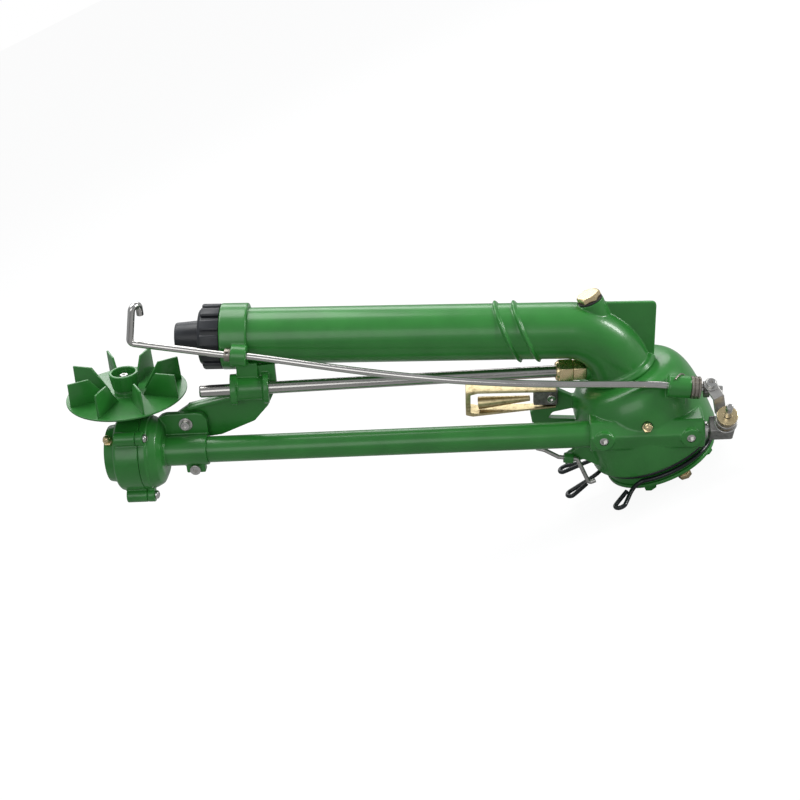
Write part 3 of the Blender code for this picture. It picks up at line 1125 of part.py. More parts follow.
def turbine_wheel(frames):
    """Round plate with upright radial blades and a fluted hub."""
    axis = frames["turbine"]
    low = TURBINE_DISC_HEIGHT
    floor = low + TURBINE_DISC
    hub_top = low + HUB_HEIGHT
    profile = [(0, low), (TURBINE_RADIUS - 1 * MM, low), (TURBINE_RADIUS, low + 1 * MM), (TURBINE_RADIUS, floor),
               (TURBINE_HUB_RADIUS, floor), (TURBINE_HUB_RIM, hub_top - 1 * MM), (TURBINE_HUB_RIM - 0.8 * MM, hub_top),
               (0, hub_top)]
    wheel = piece("turbine_wheel", turned(profile, 32), "green", axis)
    for i in range(TURBINE_BLADES):
        outline = [(BLADE_ROOT, floor - 1 * MM), (66 * MM, floor - 1 * MM), (65 * MM, floor + BLADE_HEIGHT),
                   (41 * MM, floor + BLADE_HEIGHT), (BLADE_ROOT + 1 * MM, floor + 1 * MM)]
        bm = prism(outline, -BLADE_THICKNESS / 2, BLADE_THICKNESS / 2)
        turn = Matrix.Rotation(BLADE_PHASE + math.tau * i / TURBINE_BLADES, 4, "Z")
        join(wheel, piece("blade_%d" % i, bm, None, axis, turn @ UPRIGHT))
    bore = turned([(0, low - OVERRUN), (TURBINE_SHAFT_RADIUS + GAP, low - OVERRUN),
                   (TURBINE_SHAFT_RADIUS + GAP, low + 20 * MM + GAP), (TURBINE_HUB_RECESS, low + 20 * MM + GAP),
                   (TURBINE_HUB_RECESS, hub_top + OVERRUN), (0, hub_top + OVERRUN)], 28)
    cut(wheel, piece("hub_bore", bore, None, axis))


def turbine_screw(frames):
    low = TURBINE_DISC_HEIGHT + 20 * MM + 2 * GAP
    head = turned([(0, low), (7.5 * MM, low), (7.5 * MM, low + 1.5 * MM), (4.6 * MM, low + 1.5 * MM),
                   (4.6 * MM, low + 5 * MM), (0, low + 5 * MM)], 24)
    piece("turbine_screw", head, "steel", frames["turbine"])


# Breaker rod and link

def breaker_rod(frames):
    """Stainless rod bowed round the elbow, with a hooked front end that dips into the jet."""
    length = (ROD_FRONT - ROD_REAR).length
    bow = Vector((0, 0.86, -0.5)) * ROD_BOW
    rear_end = -44 * MM
    points = [Vector((rear_end, 0, 0)), Vector((-20 * MM, 0, 0)), Vector((4 * MM, 0, 0))]
    steps = 12
    low, high = 29 * MM, length - 17 * MM
    for i in range(steps + 1):
        share = i / steps
        points.append(Vector((low + (high - low) * share, 0, 0)) + bow * math.sin(math.pi * share) ** 1.15)
    straight = Vector((length + 14 * MM, 0, 0))
    points.append(straight)
    corner = Vector((length + ROD_TIP_REACH, 0, 6 * MM))
    top = corner + Vector((-3 * MM, 0, ROD_HOOK_HEIGHT))
    over = top + Vector((-6 * MM, -9 * MM, 1 * MM))
    end = over + Vector((-1 * MM, -2 * MM, -13 * MM))
    hook = rounded_path([straight, corner, top, over, end], 4.8 * MM, 4)
    wire("breaker_rod", points + hook[1:], ROD_RADIUS, "steel", frames["rod"], sides=3)


def rod_collars(frames):
    length = (ROD_FRONT - ROD_REAR).length
    rod = frames["rod"]
    low = length + 4.4 * MM + GAP
    inner = ROD_RADIUS + GAP
    piece("front_rod_collar", chamfered_ring(7.2 * MM, inner, low, low + 7 * MM, 0.6 * MM, 20), "steel", rod, X_AXIS)
    piece("rear_rod_ring", chamfered_ring(REAR_RING_RADIUS, inner, -9 * MM - GAP - 10.5 * MM, -9 * MM - GAP, 0.8 * MM),
          "bronze", rod, X_AXIS)


def link_turn():
    """Turn of the link frame in the drive frame: Z along the stud, X along the shaft to the rear."""
    return frame_matrix((0, 0, 0), (-1, 0, 0), link_normal())


def local_to(parent, world):
    return parent.matrix_world.inverted() @ world


def link_world(frames):
    """World matrix of the link frame, which lies on the shaft's axis at the strap."""
    return frames["drive"].matrix_world @ Matrix.Translation((STRAP_STATION, 0, 0)) @ link_turn()


def eccentric_strap(frames):
    """Strap that rides on the shaft's eccentric pin and keeps its direction."""
    axis = frames["strap"]
    at = link_turn()
    size = (STRAP_LENGTH, STRAP_WIDTH, STRAP_DEPTH)
    strap = piece("eccentric_strap", rounded_box(size, (0, 0, 0), 1.6 * MM), "steel", axis, at)
    groove = rounded_box((1.2 * MM, STRAP_WIDTH + 4 * MM, 2 * MM), (0, 0, STRAP_DEPTH / 2), 0)
    cut(strap, piece("strap_groove", groove, None, axis, at))
    bore = rod_form(ECCENTRIC_PIN + GAP, -STRAP_LENGTH / 2 - OVERRUN, STRAP_LENGTH / 2 - 2 * MM, 28)
    cut(strap, piece("strap_bore", bore, None, axis, at @ X_AXIS))


def link_stud(frames):
    """Stud on the strap with its collar and brass washer, which the bar's eye plays between."""
    axis = frames["strap"]
    low = STRAP_DEPTH / 2 + GAP
    at = link_turn() @ Matrix.Translation((STUD_SHIFT, 0, 0))
    stud = turned([(0, low), (12.2 * MM, low), (12.8 * MM, low + 1 * MM), (12.2 * MM, low + 2 * MM),
                   (STUD_RADIUS, low + 2 * MM), (STUD_RADIUS, STUD_TOP - 1 * MM), (STUD_RADIUS - 1 * MM, STUD_TOP),
                   (0, STUD_TOP)], 28)
    piece("link_stud", stud, "steel", axis, at)
    washer = chamfered_ring(11.5 * MM, STUD_RADIUS + GAP, WASHER_PLANE, WASHER_PLANE + 2.4 * MM, 0.5 * MM)
    piece("link_washer", washer, "brass", axis, at)


def clamp_point(frames):
    """Point of the breaker rod's axis under the clamp screw, in the link frame."""
    return link_world(frames).inverted() @ (frames["rod"].matrix_world @ Vector((CLAMP_ON_ROD, 0, 0)))


def lever_bar(frames):
    """Joggled bar from the clamp on the rod to the eye round the link stud."""
    rod = frames["rod"]
    point = clamp_point(frames)
    high = Vector((point.x, point.y, 0))
    run = Vector((STUD_SHIFT, 0, 0)) - high
    length = run.length
    half = BAR_THICKNESS / 2
    top = point.z + BAR_ABOVE_ROD - BAR_LOW_PLANE
    bend, foot, lean = length * 0.42, length * 0.62, 1.5 * MM
    side = [(0, top - half), (bend, top - half), (foot, -half), (length, -half), (length, half), (foot + lean, half),
            (bend + lean, top + half), (0, top + half)]
    place = local_to(rod, link_world(frames) @ Matrix.Translation((high.x, high.y, BAR_LOW_PLANE + half))
                     @ Matrix.Rotation(math.atan2(run.y, run.x), 4, "Z"))
    bar = piece("lever_bar", prism(side, -BAR_WIDTH / 2, BAR_WIDTH / 2), "steel", rod, place @ UPRIGHT)
    eye_at = place @ Matrix.Translation((length, 0, 0))
    join(bar, piece("bar_eye", rod_form(EYE_RADIUS, -half, half, 32), None, rod, eye_at),
         piece("bar_end", rod_form(BAR_WIDTH / 2, top - half, top + half, 24), None, rod, place))
    cut(bar, piece("bar_eye_hole", rod_form(EYE_BORE, -10 * MM, 10 * MM, 28), None, rod, eye_at))


def lever_clamp(frames):
    """Split clamp on the rod's rear end; the bar lies on its pad under the socket screw."""
    rod = frames["rod"]
    point = clamp_point(frames)
    place = local_to(rod, link_world(frames) @ Matrix.Translation((point.x, point.y, 0)))
    pad = point.z + BAR_ABOVE_ROD - GAP
    low = point.z - 8 * MM
    block = rounded_box((15 * MM, 15 * MM, pad - low), (0, 0, (pad + low) / 2), 1.2 * MM)
    clamp = piece("lever_clamp", block, "grey", rod, place)
    cut(clamp, piece("clamp_rod_bore", rod_form(ROD_RADIUS + GAP, CLAMP_ON_ROD - 30 * MM, CLAMP_ON_ROD + 30 * MM, 24),
                     None, rod, X_AXIS))
    head_low = point.z + BAR_ABOVE_ROD + BAR_THICKNESS + GAP
    screw = turned([(0, head_low), (7.6 * MM, head_low), (7.6 * MM, head_low + 1.4 * MM), (5.4 * MM, head_low + 1.4 * MM),
                    (5 * MM, head_low + 5.4 * MM), (3.6 * MM, head_low + 6.4 * MM), (0, head_low + 6.4 * MM)], 24)
    piece("clamp_screw", screw, "steel", rod, place)


def boss_spring(frames):
    """Spring clip of thin wire that lies over the rear rod boss."""
    radius = REAR_BOSS_RADIUS + 1.2 * MM + GAP
    points = []
    for i in range(9):
        turn = math.radians(-75 + 110 * i / 8)
        points.append(Vector((-6 * MM + 16 * MM * i / 8, radius * math.sin(turn), radius * math.cos(turn))))
    wire("boss_spring", points, 1 * MM, "steel", frames["rod"], sides=1)


# Trip lever and spreader

def trip_lever(frames):
    """Bent wire that turns in the cheek's eye, with its hooked foot over the stop rings' arms."""
    upper = TRIP_TAIL + Vector((-11, 0, 15)) * MM
    tip = upper + Vector((-8, 4, 4)) * MM
    foot = Vector((TRIP_END.x, TRIP_END.y, TRIP_TIP_HEIGHT + TRIP_WIRE))
    hook = foot + Vector((8, 0, 0)) * MM
    place = frames["trip"]
    corners = [place.matrix_world.inverted() @ p for p in (tip, upper, TRIP_TAIL, TRIP_END, foot, hook)]
    wire("trip_lever", rounded_path(corners, 3.6 * MM, 4), TRIP_WIRE, "steel", place, sides=2)


def spreader(frames):
    """Block that turns on its screw, with the brass frame and tube that spread the near water."""
    axis = frames["spreader"]
    half = SPREADER_DEPTH / 2
    block = piece("spreader_block", rounded_box((28 * MM, SPREADER_DEPTH, 19 * MM), (6 * MM, 0, 0), 1.2 * MM), "grey",
                  axis)
    cut(block, piece("spreader_screw_bore", rod_form(SPREADER_SCREW + GAP, -20 * MM, 20 * MM, 20), None, axis,
                     along((0, 0, 0), (0, 1, 0))))
    outer = [(-6, 12), (-6, -12.5), (90, -23), (98, -21), (98, 18), (90, 19.8)]
    window = [(-12, 9.3), (-12, -9.8), (84, -19), (93, -18), (93, 14.2), (84, 16.4)]
    frame = piece("spreader_frame", prism([(x * MM, z * MM) for x, z in outer], -half, half), "brass", axis, UPRIGHT)
    cut(frame, piece("spreader_window", prism([(x * MM, z * MM) for x, z in window], -30 * MM, 30 * MM), None, axis,
                     UPRIGHT))
    screw = turned([(0, -9 * MM), (SPREADER_SCREW, -9 * MM), (SPREADER_SCREW, half + GAP), (5 * MM, half + GAP),
                    (5 * MM, half + 3.5 * MM), (4 * MM, half + 4.5 * MM), (0, half + 4.5 * MM)], 20)
    piece("spreader_screw", screw, "steel", axis, along((0, 0, 0), (0, 1, 0)))


def build():
    clear_scene()
    frames = make_frames()
    base_body(frames)
    base_plate(frames)
    base_bolts(frames)
    drain_plug(frames)
    ring_gear(frames)
    sleeve_hardware(frames)
    stop_rings(frames)
    drum_housing(frames)
    drum_seal(frames)
    riser_elbow(frames)
    elbow_plug(frames)
    barrel_tube(frames)
    flow_straightener(frames)
    clamp_casting(frames)
    nozzle_nut(frames)
    nozzle_cone(frames)
    jet_tube(frames)
    tube_fitting(frames)
    drive_tube(frames)
    drive_shaft(frames)
    shaft_bushes(frames)
    gearbox_front(frames)
    gearbox_rear(frames)
    gearbox_cap(frames)
    gearbox_screws(frames)
    ear_screw(frames)
    grease_nipples(frames)
    worm_wheel(frames)
    turbine_shaft(frames)
    turbine_bushes(frames)
    turbine_wheel(frames)
    turbine_screw(frames)
    breaker_rod(frames)
    rod_collars(frames)
    eccentric_strap(frames)
    link_stud(frames)
    lever_bar(frames)
    lever_clamp(frames)
    boss_spring(frames)
    trip_lever(frames)
    spreader(frames)


build()
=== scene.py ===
"""Looks of a turbine-driven rain gun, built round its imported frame.

Pieces are modelled in millimetres, each in the frame of the axis it belongs to,
and are scaled to metres when they are put in place.
"""

import math

import bmesh
import bpy
from mathutils import Matrix, Vector


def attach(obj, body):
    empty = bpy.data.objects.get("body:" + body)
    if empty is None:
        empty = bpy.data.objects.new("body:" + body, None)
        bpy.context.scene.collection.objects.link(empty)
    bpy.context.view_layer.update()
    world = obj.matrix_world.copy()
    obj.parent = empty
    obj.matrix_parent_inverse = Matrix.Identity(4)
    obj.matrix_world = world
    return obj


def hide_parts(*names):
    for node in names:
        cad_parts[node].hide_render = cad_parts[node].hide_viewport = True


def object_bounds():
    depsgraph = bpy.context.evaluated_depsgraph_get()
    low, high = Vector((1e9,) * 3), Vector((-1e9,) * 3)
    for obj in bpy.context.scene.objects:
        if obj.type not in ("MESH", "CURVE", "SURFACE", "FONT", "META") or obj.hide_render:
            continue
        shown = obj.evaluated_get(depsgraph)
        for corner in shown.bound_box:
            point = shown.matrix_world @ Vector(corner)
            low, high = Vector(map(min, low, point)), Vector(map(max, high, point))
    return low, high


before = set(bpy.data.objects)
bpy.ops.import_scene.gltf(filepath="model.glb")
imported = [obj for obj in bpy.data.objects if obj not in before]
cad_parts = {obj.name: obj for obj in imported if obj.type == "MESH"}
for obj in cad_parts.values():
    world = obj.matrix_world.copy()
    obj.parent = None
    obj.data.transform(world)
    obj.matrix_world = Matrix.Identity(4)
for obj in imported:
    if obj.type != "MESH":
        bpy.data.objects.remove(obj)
cad_low, cad_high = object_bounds()

METRES = 0.001
TAU = math.tau

# The gun's own sizes, in millimetres
HUB_R = 38.0
COLLAR_R = 64.3
COLLAR_LOW, COLLAR_HIGH = 18.3, 33.0
FLANGE_R = 66.0
CROSSING = 188.5
BARREL_R = 32.0
BARREL_BORE = 29.0
RISER_R = 34.5
RISER_BORE = 24.5
ELBOW_END = 128.0
PLUG_SEAT = 227.5
CLAMP_AT = 399.4
CLAMP_LONG = 31.0
CLAMP_END = CLAMP_AT + CLAMP_LONG
NUT_END = CLAMP_END + 24.9
NOZZLE_TIP = NUT_END + 27.9
DRUM_R = 75.0
DRUM_LOW = 35.0
SHOULDER = 57.0
DOME_TOP = 134.0
BLOCK_HALF = 63.5
BLOCK_R = 20.5
TUBE_R = 15.0
SOCKET_AT = 496.0
JOINT_AT = 568.0
BACK_AT = 598.0
NOSE_AT = 610.0
CASE_R = 43.0
LUG_CIRCLE = 49.5
LUGS = [(LUG_CIRCLE * math.sin(a), LUG_CIRCLE * math.cos(a)) for a in map(math.radians, (-26, 44, 154, 224))]
SET_SCREWS = {"front": 48, "rear": -47.7}
DISC_AT = 61.5
BOLT_CIRCLE = 54.5
ROD_R = 4.0
ROD_BOW = 13.0
HOOK_REACH, HOOK_RISE, HOOK_BEND = 117.0, 42.5, 4.8
STUD_AT = 4.0
BAR_LOW = 23.6
STOP_RING_R = 67.3
STOP_WIRE_R = 2.5
BLADES, FLUTES, GRIP_LOBES = 8, 16, 12

# Camera fitted to the photograph
CAMERA_AT = (114.55, -1546.92, 875.50)
LOOK, ROLL, TILT = 2.11, 1.834, 26.093
FOCAL_PIXELS, PICTURE_PIXELS = 1493.3, 800
SENSOR = 36


# Frames of the axes, in millimetres

def frame_of(origin, x_axis, y_axis, z_axis):
    turned_to = Matrix((x_axis, y_axis, z_axis)).transposed().to_4x4()
    return Matrix.Translation(origin) @ turned_to


def along(origin, direction, hint=(0, 0, 1)):
    """Frame whose Z runs along direction."""
    z = Vector(direction).normalized()
    guide = Vector(hint)
    if abs(z.dot(guide.normalized())) > 0.99:
        guide = Vector((1, 0, 0))
    x = (guide - z * z.dot(guide)).normalized()
    return frame_of(origin, x, z.cross(x), z)


def from_x(origin, x_axis, hint):
    """Frame whose X runs along x_axis, with Z as near the hint as it can be."""
    x = Vector(x_axis).normalized()
    z = (Vector(hint) - x * x.dot(Vector(hint))).normalized()
    return frame_of(origin, x, z.cross(x), z)


def spun(degrees, axis="Z"):
    return Matrix.Rotation(math.radians(degrees), 4, axis)


def moved(x, y, z):
    return Matrix.Translation((x, y, z))


ROOT = Matrix.Identity(4)
LENGTHWISE = along((0, 0, 0), (1, 0, 0))
SIDEWAYS = along((0, 0, 0), (0, 1, 0))
UPRIGHT = Matrix(((1, 0, 0, 0), (0, 0, -1, 0), (0, 1, 0, 0), (0, 0, 0, 1)))
RISE = math.radians(24)
GUN = from_x((0, 0, CROSSING), (-math.cos(RISE), 0, math.sin(RISE)), (0, 0, 1))
SHAFT_RISE, SPLAY = math.radians(21.45), math.radians(1.85)
SHAFT_WAY = (-math.cos(SHAFT_RISE) * math.cos(SPLAY), math.cos(SHAFT_RISE) * math.sin(SPLAY),
             math.sin(SHAFT_RISE))
SHAFT = from_x((0, -58, 79.3), SHAFT_WAY, (0, 0, 1))
TURBINE = SHAFT @ moved(587, -26, 0)
STUD_LEAN = math.radians(51.5)
STUD_WAY = Vector((0, math.cos(STUD_LEAN), math.sin(STUD_LEAN)))
LINK_TURN = from_x((0, 0, 0), (-1, 0, 0), STUD_WAY)
LINK = SHAFT @ moved(-82, 0, 0) @ LINK_TURN
STRAP = SHAFT @ Matrix.Translation(Vector((-82, 0, 0)) + 3 * STUD_WAY) @ LINK_TURN
ROD_FRONT, ROD_REAR = Vector((411.4, 45.2, -3.5)), Vector((-81.5, 57.5, -44.8))
ROD_LONG = (ROD_FRONT - ROD_REAR).length
ROD = GUN @ from_x(ROD_REAR, ROD_FRONT - ROD_REAR, (0, 0, 1))
TRIP_EYE, TRIP_END = Vector((-94, -40, 75.6)), Vector((-85.2, -40, 70.2))
TRIP_TAIL = Vector((-103.6, -40, 81.5))
TUBE_FROM, TUBE_TO = Vector((50.5, 0, -50.3)), Vector((456.3, 36, -51.8))
TUBE_LONG = (TUBE_TO - TUBE_FROM).length
JET_TUBE = GUN @ along(TUBE_FROM, TUBE_TO - TUBE_FROM)
PIVOT = GUN @ moved(58, -4.3, -84)


# Forms, each returned as a bmesh in millimetres

def polar(radius, turn):
    return radius * math.cos(turn), radius * math.sin(turn)


def lathe(profile, steps=96, soft=0.0, keep=()):
    """Turned form from a closed outline of (radius, height) points, its corners rounded by soft."""
    bm = bmesh.new()
    rings = []
    for radius, height in round_corners(profile, soft, keep) if soft else profile:
        if radius < 1e-6:
            rings.append([bm.verts.new((0, 0, height))])
        else:
            rings.append([bm.verts.new((*polar(radius, TAU * i / steps), height)) for i in range(steps)])
    for a, b in zip(rings, rings[1:] + rings[:1]):
        for i in range(steps):
            j = (i + 1) % steps
            if len(a) > 1 and len(b) > 1:
                bm.faces.new((a[i], a[j], b[j], b[i]))
            elif len(a) > 1:
                bm.faces.new((a[i], a[j], b[0]))
            elif len(b) > 1:
                bm.faces.new((a[0], b[j], b[i]))
    bmesh.ops.recalc_face_normals(bm, faces=bm.faces)
    return bm


def round_corners(profile, radius, keep=()):
    """Closed outline with its corners rounded, apart from those on the axis and those to keep."""
    rounded = []
    count = len(profile)
    for i, point in enumerate(profile):
        here = Vector(point)
        before = Vector(profile[i - 1]) - here
        after = Vector(profile[(i + 1) % count]) - here
        reach = min(radius, before.length * 0.45, after.length * 0.45)
        if here.x < 1e-6 or i in keep or reach < 0.05:
            rounded.append(tuple(here))
            continue
        a, b = here + before.normalized() * reach, here + after.normalized() * reach
        for t in (0, 1 / 3, 2 / 3, 1):
            rounded.append(tuple((1 - t) ** 2 * a + 2 * t * (1 - t) * here + t * t * b))
    return rounded


def bar(radius, low, high, steps=48, soft=0.0):
    return lathe([(0, low), (radius, low), (radius, high), (0, high)], steps, soft)


def ring(outer, inner, low, high, soft=0.0, steps=96):
    return lathe([(inner, low), (outer, low), (outer, high), (inner, high)], steps, soft)


def turned(profile, soft=0.0, steps=96, keep=()):
    """Lathed form with its axis along X."""
    return lathe(profile, steps, soft, keep), LENGTHWISE


def slab(outline, low, high, soft=0.0):
    """Flat outline given thickness along Z, with its edges eased."""
    bm = bmesh.new()
    floor = bm.faces.new([bm.verts.new((x, y, low)) for x, y in outline])
    grown = bmesh.ops.extrude_face_region(bm, geom=[floor])
    bmesh.ops.translate(bm, verts=[v for v in grown["geom"] if isinstance(v, bmesh.types.BMVert)],
                        vec=(0, 0, high - low))
    bmesh.ops.recalc_face_normals(bm, faces=bm.faces)
    if soft:
        bmesh.ops.bevel(bm, geom=bm.edges[:], offset=soft, segments=2, profile=0.5, affect="EDGES",
                        clamp_overlap=True)
    return bm


def block(size, centre=(0, 0, 0), soft=0.0, steps=2):
    bm = bmesh.new()
    bmesh.ops.create_cube(bm, size=1)
    bmesh.ops.scale(bm, vec=size, verts=bm.verts)
    if soft:
        bmesh.ops.bevel(bm, geom=bm.edges[:], offset=soft, segments=steps, profile=0.5, affect="EDGES")
    bmesh.ops.translate(bm, vec=centre, verts=bm.verts)
    return bm


def hexagon(flats, turn=0.0):
    radius = flats / 2 / math.cos(math.pi / 6)
    return [polar(radius, turn + TAU * i / 6) for i in range(6)]


def sleeve(points, radii, sides=40):
    """Closed round form swept through points, with a radius at each."""
    bm = bmesh.new()
    count = len(points)
    tangents = [(points[min(i + 1, count - 1)] - points[max(i - 1, 0)]).normalized() for i in range(count)]
    side = tangents[0].orthogonal().normalized()
    rings = []
    for i, (point, radius) in enumerate(zip(points, radii)):
        if i:
            side = tangents[i - 1].rotation_difference(tangents[i]) @ side
        side = (side - tangents[i] * side.dot(tangents[i])).normalized()
        across = tangents[i].cross(side)
        rings.append([bm.verts.new(point + radius * (math.cos(t) * side + math.sin(t) * across))
                      for t in (TAU * k / sides for k in range(sides))])
    for a, b in zip(rings, rings[1:]):
        for k in range(sides):
            j = (k + 1) % sides
            bm.faces.new((a[k], a[j], b[j], b[k]))
    bm.faces.new(rings[0])
    bm.faces.new(rings[-1])
    bmesh.ops.recalc_face_normals(bm, faces=bm.faces)
    return bm


def arc(centre, start, axis, angle, steps):
    return [centre + Matrix.Rotation(angle * i / steps, 3, axis) @ (start - centre) for i in range(steps + 1)]


def rounded_path(corners, radius, steps=8):
    """Path through the corners with each inner corner rounded to the given bend radius."""
    points = [corners[0]]
    for before, corner, after in zip(corners, corners[1:], corners[2:]):
        a = (before - corner).normalized()
        b = (after - corner).normalized()
        half = a.angle(b) / 2
        start = corner + a * (radius / math.tan(half))
        centre = corner + (a + b).normalized() * (radius / math.sin(half))
        points += arc(centre, start, a.cross(b).normalized(), -(math.pi - 2 * half), steps)
    points.append(corners[-1])
    return points


# Making pieces

def mesh_of(forms, name):
    """One mesh from several forms, each alone or as a (form, place) pair."""
    whole = bpy.data.meshes.new(name)
    together = bmesh.new()
    for item in forms:
        form, place = item if isinstance(item, tuple) else (item, ROOT)
        part = bpy.data.meshes.new(name)
        form.transform(place)
        form.to_mesh(part)
        form.free()
        together.from_mesh(part)
        bpy.data.meshes.remove(part)
    together.to_mesh(whole)
    together.free()
    return whole


def shown(data, name):
    obj = bpy.data.objects.new(name, data)
    bpy.context.scene.collection.objects.link(obj)
    return obj


def settle_modifiers(obj):
    """Turn the piece's modifiers into plain mesh."""
    depsgraph = bpy.context.evaluated_depsgraph_get()
    depsgraph.update()
    mesh = bpy.data.meshes.new_from_object(obj.evaluated_get(depsgraph))
    obj.modifiers.clear()
    old = obj.data
    obj.data = mesh
    bpy.data.meshes.remove(old)


def cut_away(obj, tools, operation="DIFFERENCE"):
    """Cut each tool, a form alone or a (form, place) pair, out of the piece, or keep what lies in it."""
    for item in tools:
        tool = shown(mesh_of([item], "tool"), "tool")
        cutter = obj.modifiers.new("cut", "BOOLEAN")
        cutter.operation = operation
        cutter.solver = "MANIFOLD"
        cutter.object = tool
        settle_modifiers(obj)
        bpy.data.objects.remove(tool)


def placed(obj, place, body, look, nodes=(), angle=35):
    """Put a finished piece in its place in metres and hand it to its body."""
    slot, finish = look
    obj.data.transform(Matrix.Scale(METRES, 4) @ place)
    if place.determinant() < 0:
        obj.data.flip_normals()
    obj.data.shade_smooth()
    obj.data.set_sharp_from_angle(angle=math.radians(angle))
    obj.data.materials.clear()
    obj.data.materials.append(finish)
    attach(obj, body)
    if nodes:
        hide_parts(*nodes)


def cut_form(name, forms, cuts=(), operation="DIFFERENCE"):
    obj = shown(mesh_of(forms, name), name)
    cut_away(obj, cuts, operation)
    return obj


def piece(name, forms, place, body, look, nodes=(), cuts=()):
    placed(cut_form(name, forms, cuts), place, body, look, nodes)


def casting(name, forms, place, body, look, nodes, cuts, grain, soften):
    """Forms melted into one skin with small fillets, then machined by the cuts."""
    obj = shown(mesh_of(forms, name), name)
    skin = obj.modifiers.new("skin", "REMESH")
    skin.mode = "VOXEL"
    skin.voxel_size = grain
    fillet = obj.modifiers.new("fillet", "SMOOTH")
    fillet.factor = 0.5
    fillet.iterations = soften
    settle_modifiers(obj)
    cut_away(obj, cuts)
    placed(obj, place, body, look, nodes, 40)


# Node trees

class Value:
    """Socket that adds Math nodes where it stands in an expression."""

    def __init__(self, graph, socket):
        self.graph = graph
        self.socket = socket

    def math(self, operation, right):
        return self.graph.node("ShaderNodeMath", {"operation": operation}, {0: self, 1: right})

    def __add__(self, other):
        return self.math("ADD", other)

    def __mul__(self, other):
        return self.math("MULTIPLY", other)


class Graph:
    """Node tree of any kind."""

    def __init__(self, tree):
        self.nodes = tree.nodes
        self.links = tree.links

    def node(self, kind, settings=None, values=None, output=0):
        """Add a node, with its settings first and then the values or links of its inputs."""
        made = self.nodes.new(kind)
        for key, value in (settings or {}).items():
            setattr(made, key, value)
        for key, value in (values or {}).items():
            if isinstance(value, Value):
                self.links.new(value.socket, made.inputs[key])
            else:
                made.inputs[key].default_value = value
        return Value(self, made.outputs[output])


class Tree(Graph):
    """Geometry tree whose sizes are inputs that a piece sets by name."""

    def __init__(self, name, inputs):
        self.group = bpy.data.node_groups.new(name, "GeometryNodeTree")
        super().__init__(self.group)
        sockets = self.group.interface
        sockets.new_socket("Shape", in_out="INPUT", socket_type="NodeSocketGeometry")
        for label, kind in inputs:
            sockets.new_socket(label, in_out="INPUT", socket_type="NodeSocket" + kind)
        sockets.new_socket("Shape", in_out="OUTPUT", socket_type="NodeSocketGeometry")
        self.given = self.nodes.new("NodeGroupInput").outputs
        self.result = self.nodes.new("NodeGroupOutput").inputs[0]

    def input(self, label):
        return Value(self, self.given[label])

    def step(self, kind, output=0, **values):
        """Add a geometry node with the values or links of its inputs."""
        named = {key.replace("_", " "): value for key, value in values.items()}
        return self.node("GeometryNode" + kind, None, named, output)

    def close(self, shape):
        realized = self.step("RealizeInstances", Geometry=shape)
        painted = self.step("SetMaterial", Geometry=realized, Material=self.input("Material"))
        self.links.new(painted.socket, self.result)
        return self.group


def round_pattern_tree():
    """Repeats the piece's form round Z."""
    tree = Tree("round pattern", [("Count", "Int"), ("Material", "Material")])
    count = tree.input("Count")
    spots = tree.step("MeshCircle", Vertices=count, Radius=0.0)
    index = tree.step("InputIndex")
    share = tree.node("ShaderNodeMath", {"operation": "DIVIDE"}, {0: TAU, 1: count})
    rotation = tree.node("ShaderNodeCombineXYZ", None, {"Z": index * share})
    return tree.close(tree.step("InstanceOnPoints", Points=spots, Instance=tree.input("Shape"),
                                Rotation=rotation))


def bent_wire_tree():
    """Gives a path of edges a round section."""
    tree = Tree("bent wire", [("Thickness", "Float"), ("Sides", "Int"), ("Material", "Material")])
    path = tree.step("MeshToCurve", Mesh=tree.input("Shape"))
    section = tree.step("CurvePrimitiveCircle", Resolution=tree.input("Sides"),
                        Radius=tree.input("Thickness"))
    return tree.close(tree.step("CurveToMesh", Curve=path, Profile_Curve=section, Fill_Caps=True))


def screw_seats_tree():
    """Sets one screw on each point of the piece."""
    tree = Tree("screw seats", [("Screw", "Object"), ("Material", "Material")])
    screw = tree.step("ObjectInfo", "Geometry", Object=tree.input("Screw"), As_Instance=True)
    return tree.close(tree.step("InstanceOnPoints", Points=tree.input("Shape"), Instance=screw))


def grown(mesh, name, tree, **inputs):
    """Run a tree on a mesh with the named inputs and keep its plain result."""
    obj = shown(mesh, name)
    modifier = obj.modifiers.new(name, "NODES")
    modifier.node_group = tree
    for item in tree.interface.items_tree:
        key = item.name.lower()
        if item.in_out == "INPUT" and key in inputs:
            modifier[item.identifier] = inputs[key]
    settle_modifiers(obj)
    return obj


def repeated(name, forms, count, place, body, look, nodes=()):
    obj = grown(mesh_of(forms, name), name, ROUND_PATTERN, count=count, material=look[1])
    placed(obj, place, body, look, nodes)


def path_mesh(points, name):
    mesh = bpy.data.meshes.new(name)
    mesh.from_pydata([tuple(p) for p in points], [(i, i + 1) for i in range(len(points) - 1)], [])
    return mesh


def wire(name, points, radius, place, body, look, nodes, sides=20):
    obj = grown(path_mesh(points, name), name, BENT_WIRE, thickness=radius, sides=sides, material=look[1])
    bm = bmesh.new()
    bm.from_mesh(obj.data)
    bmesh.ops.remove_doubles(bm, verts=bm.verts, dist=1e-4)
    bmesh.ops.recalc_face_normals(bm, faces=bm.faces)
    bm.to_mesh(obj.data)
    bm.free()
    placed(obj, place, body, look, nodes, 50)


# Finishes

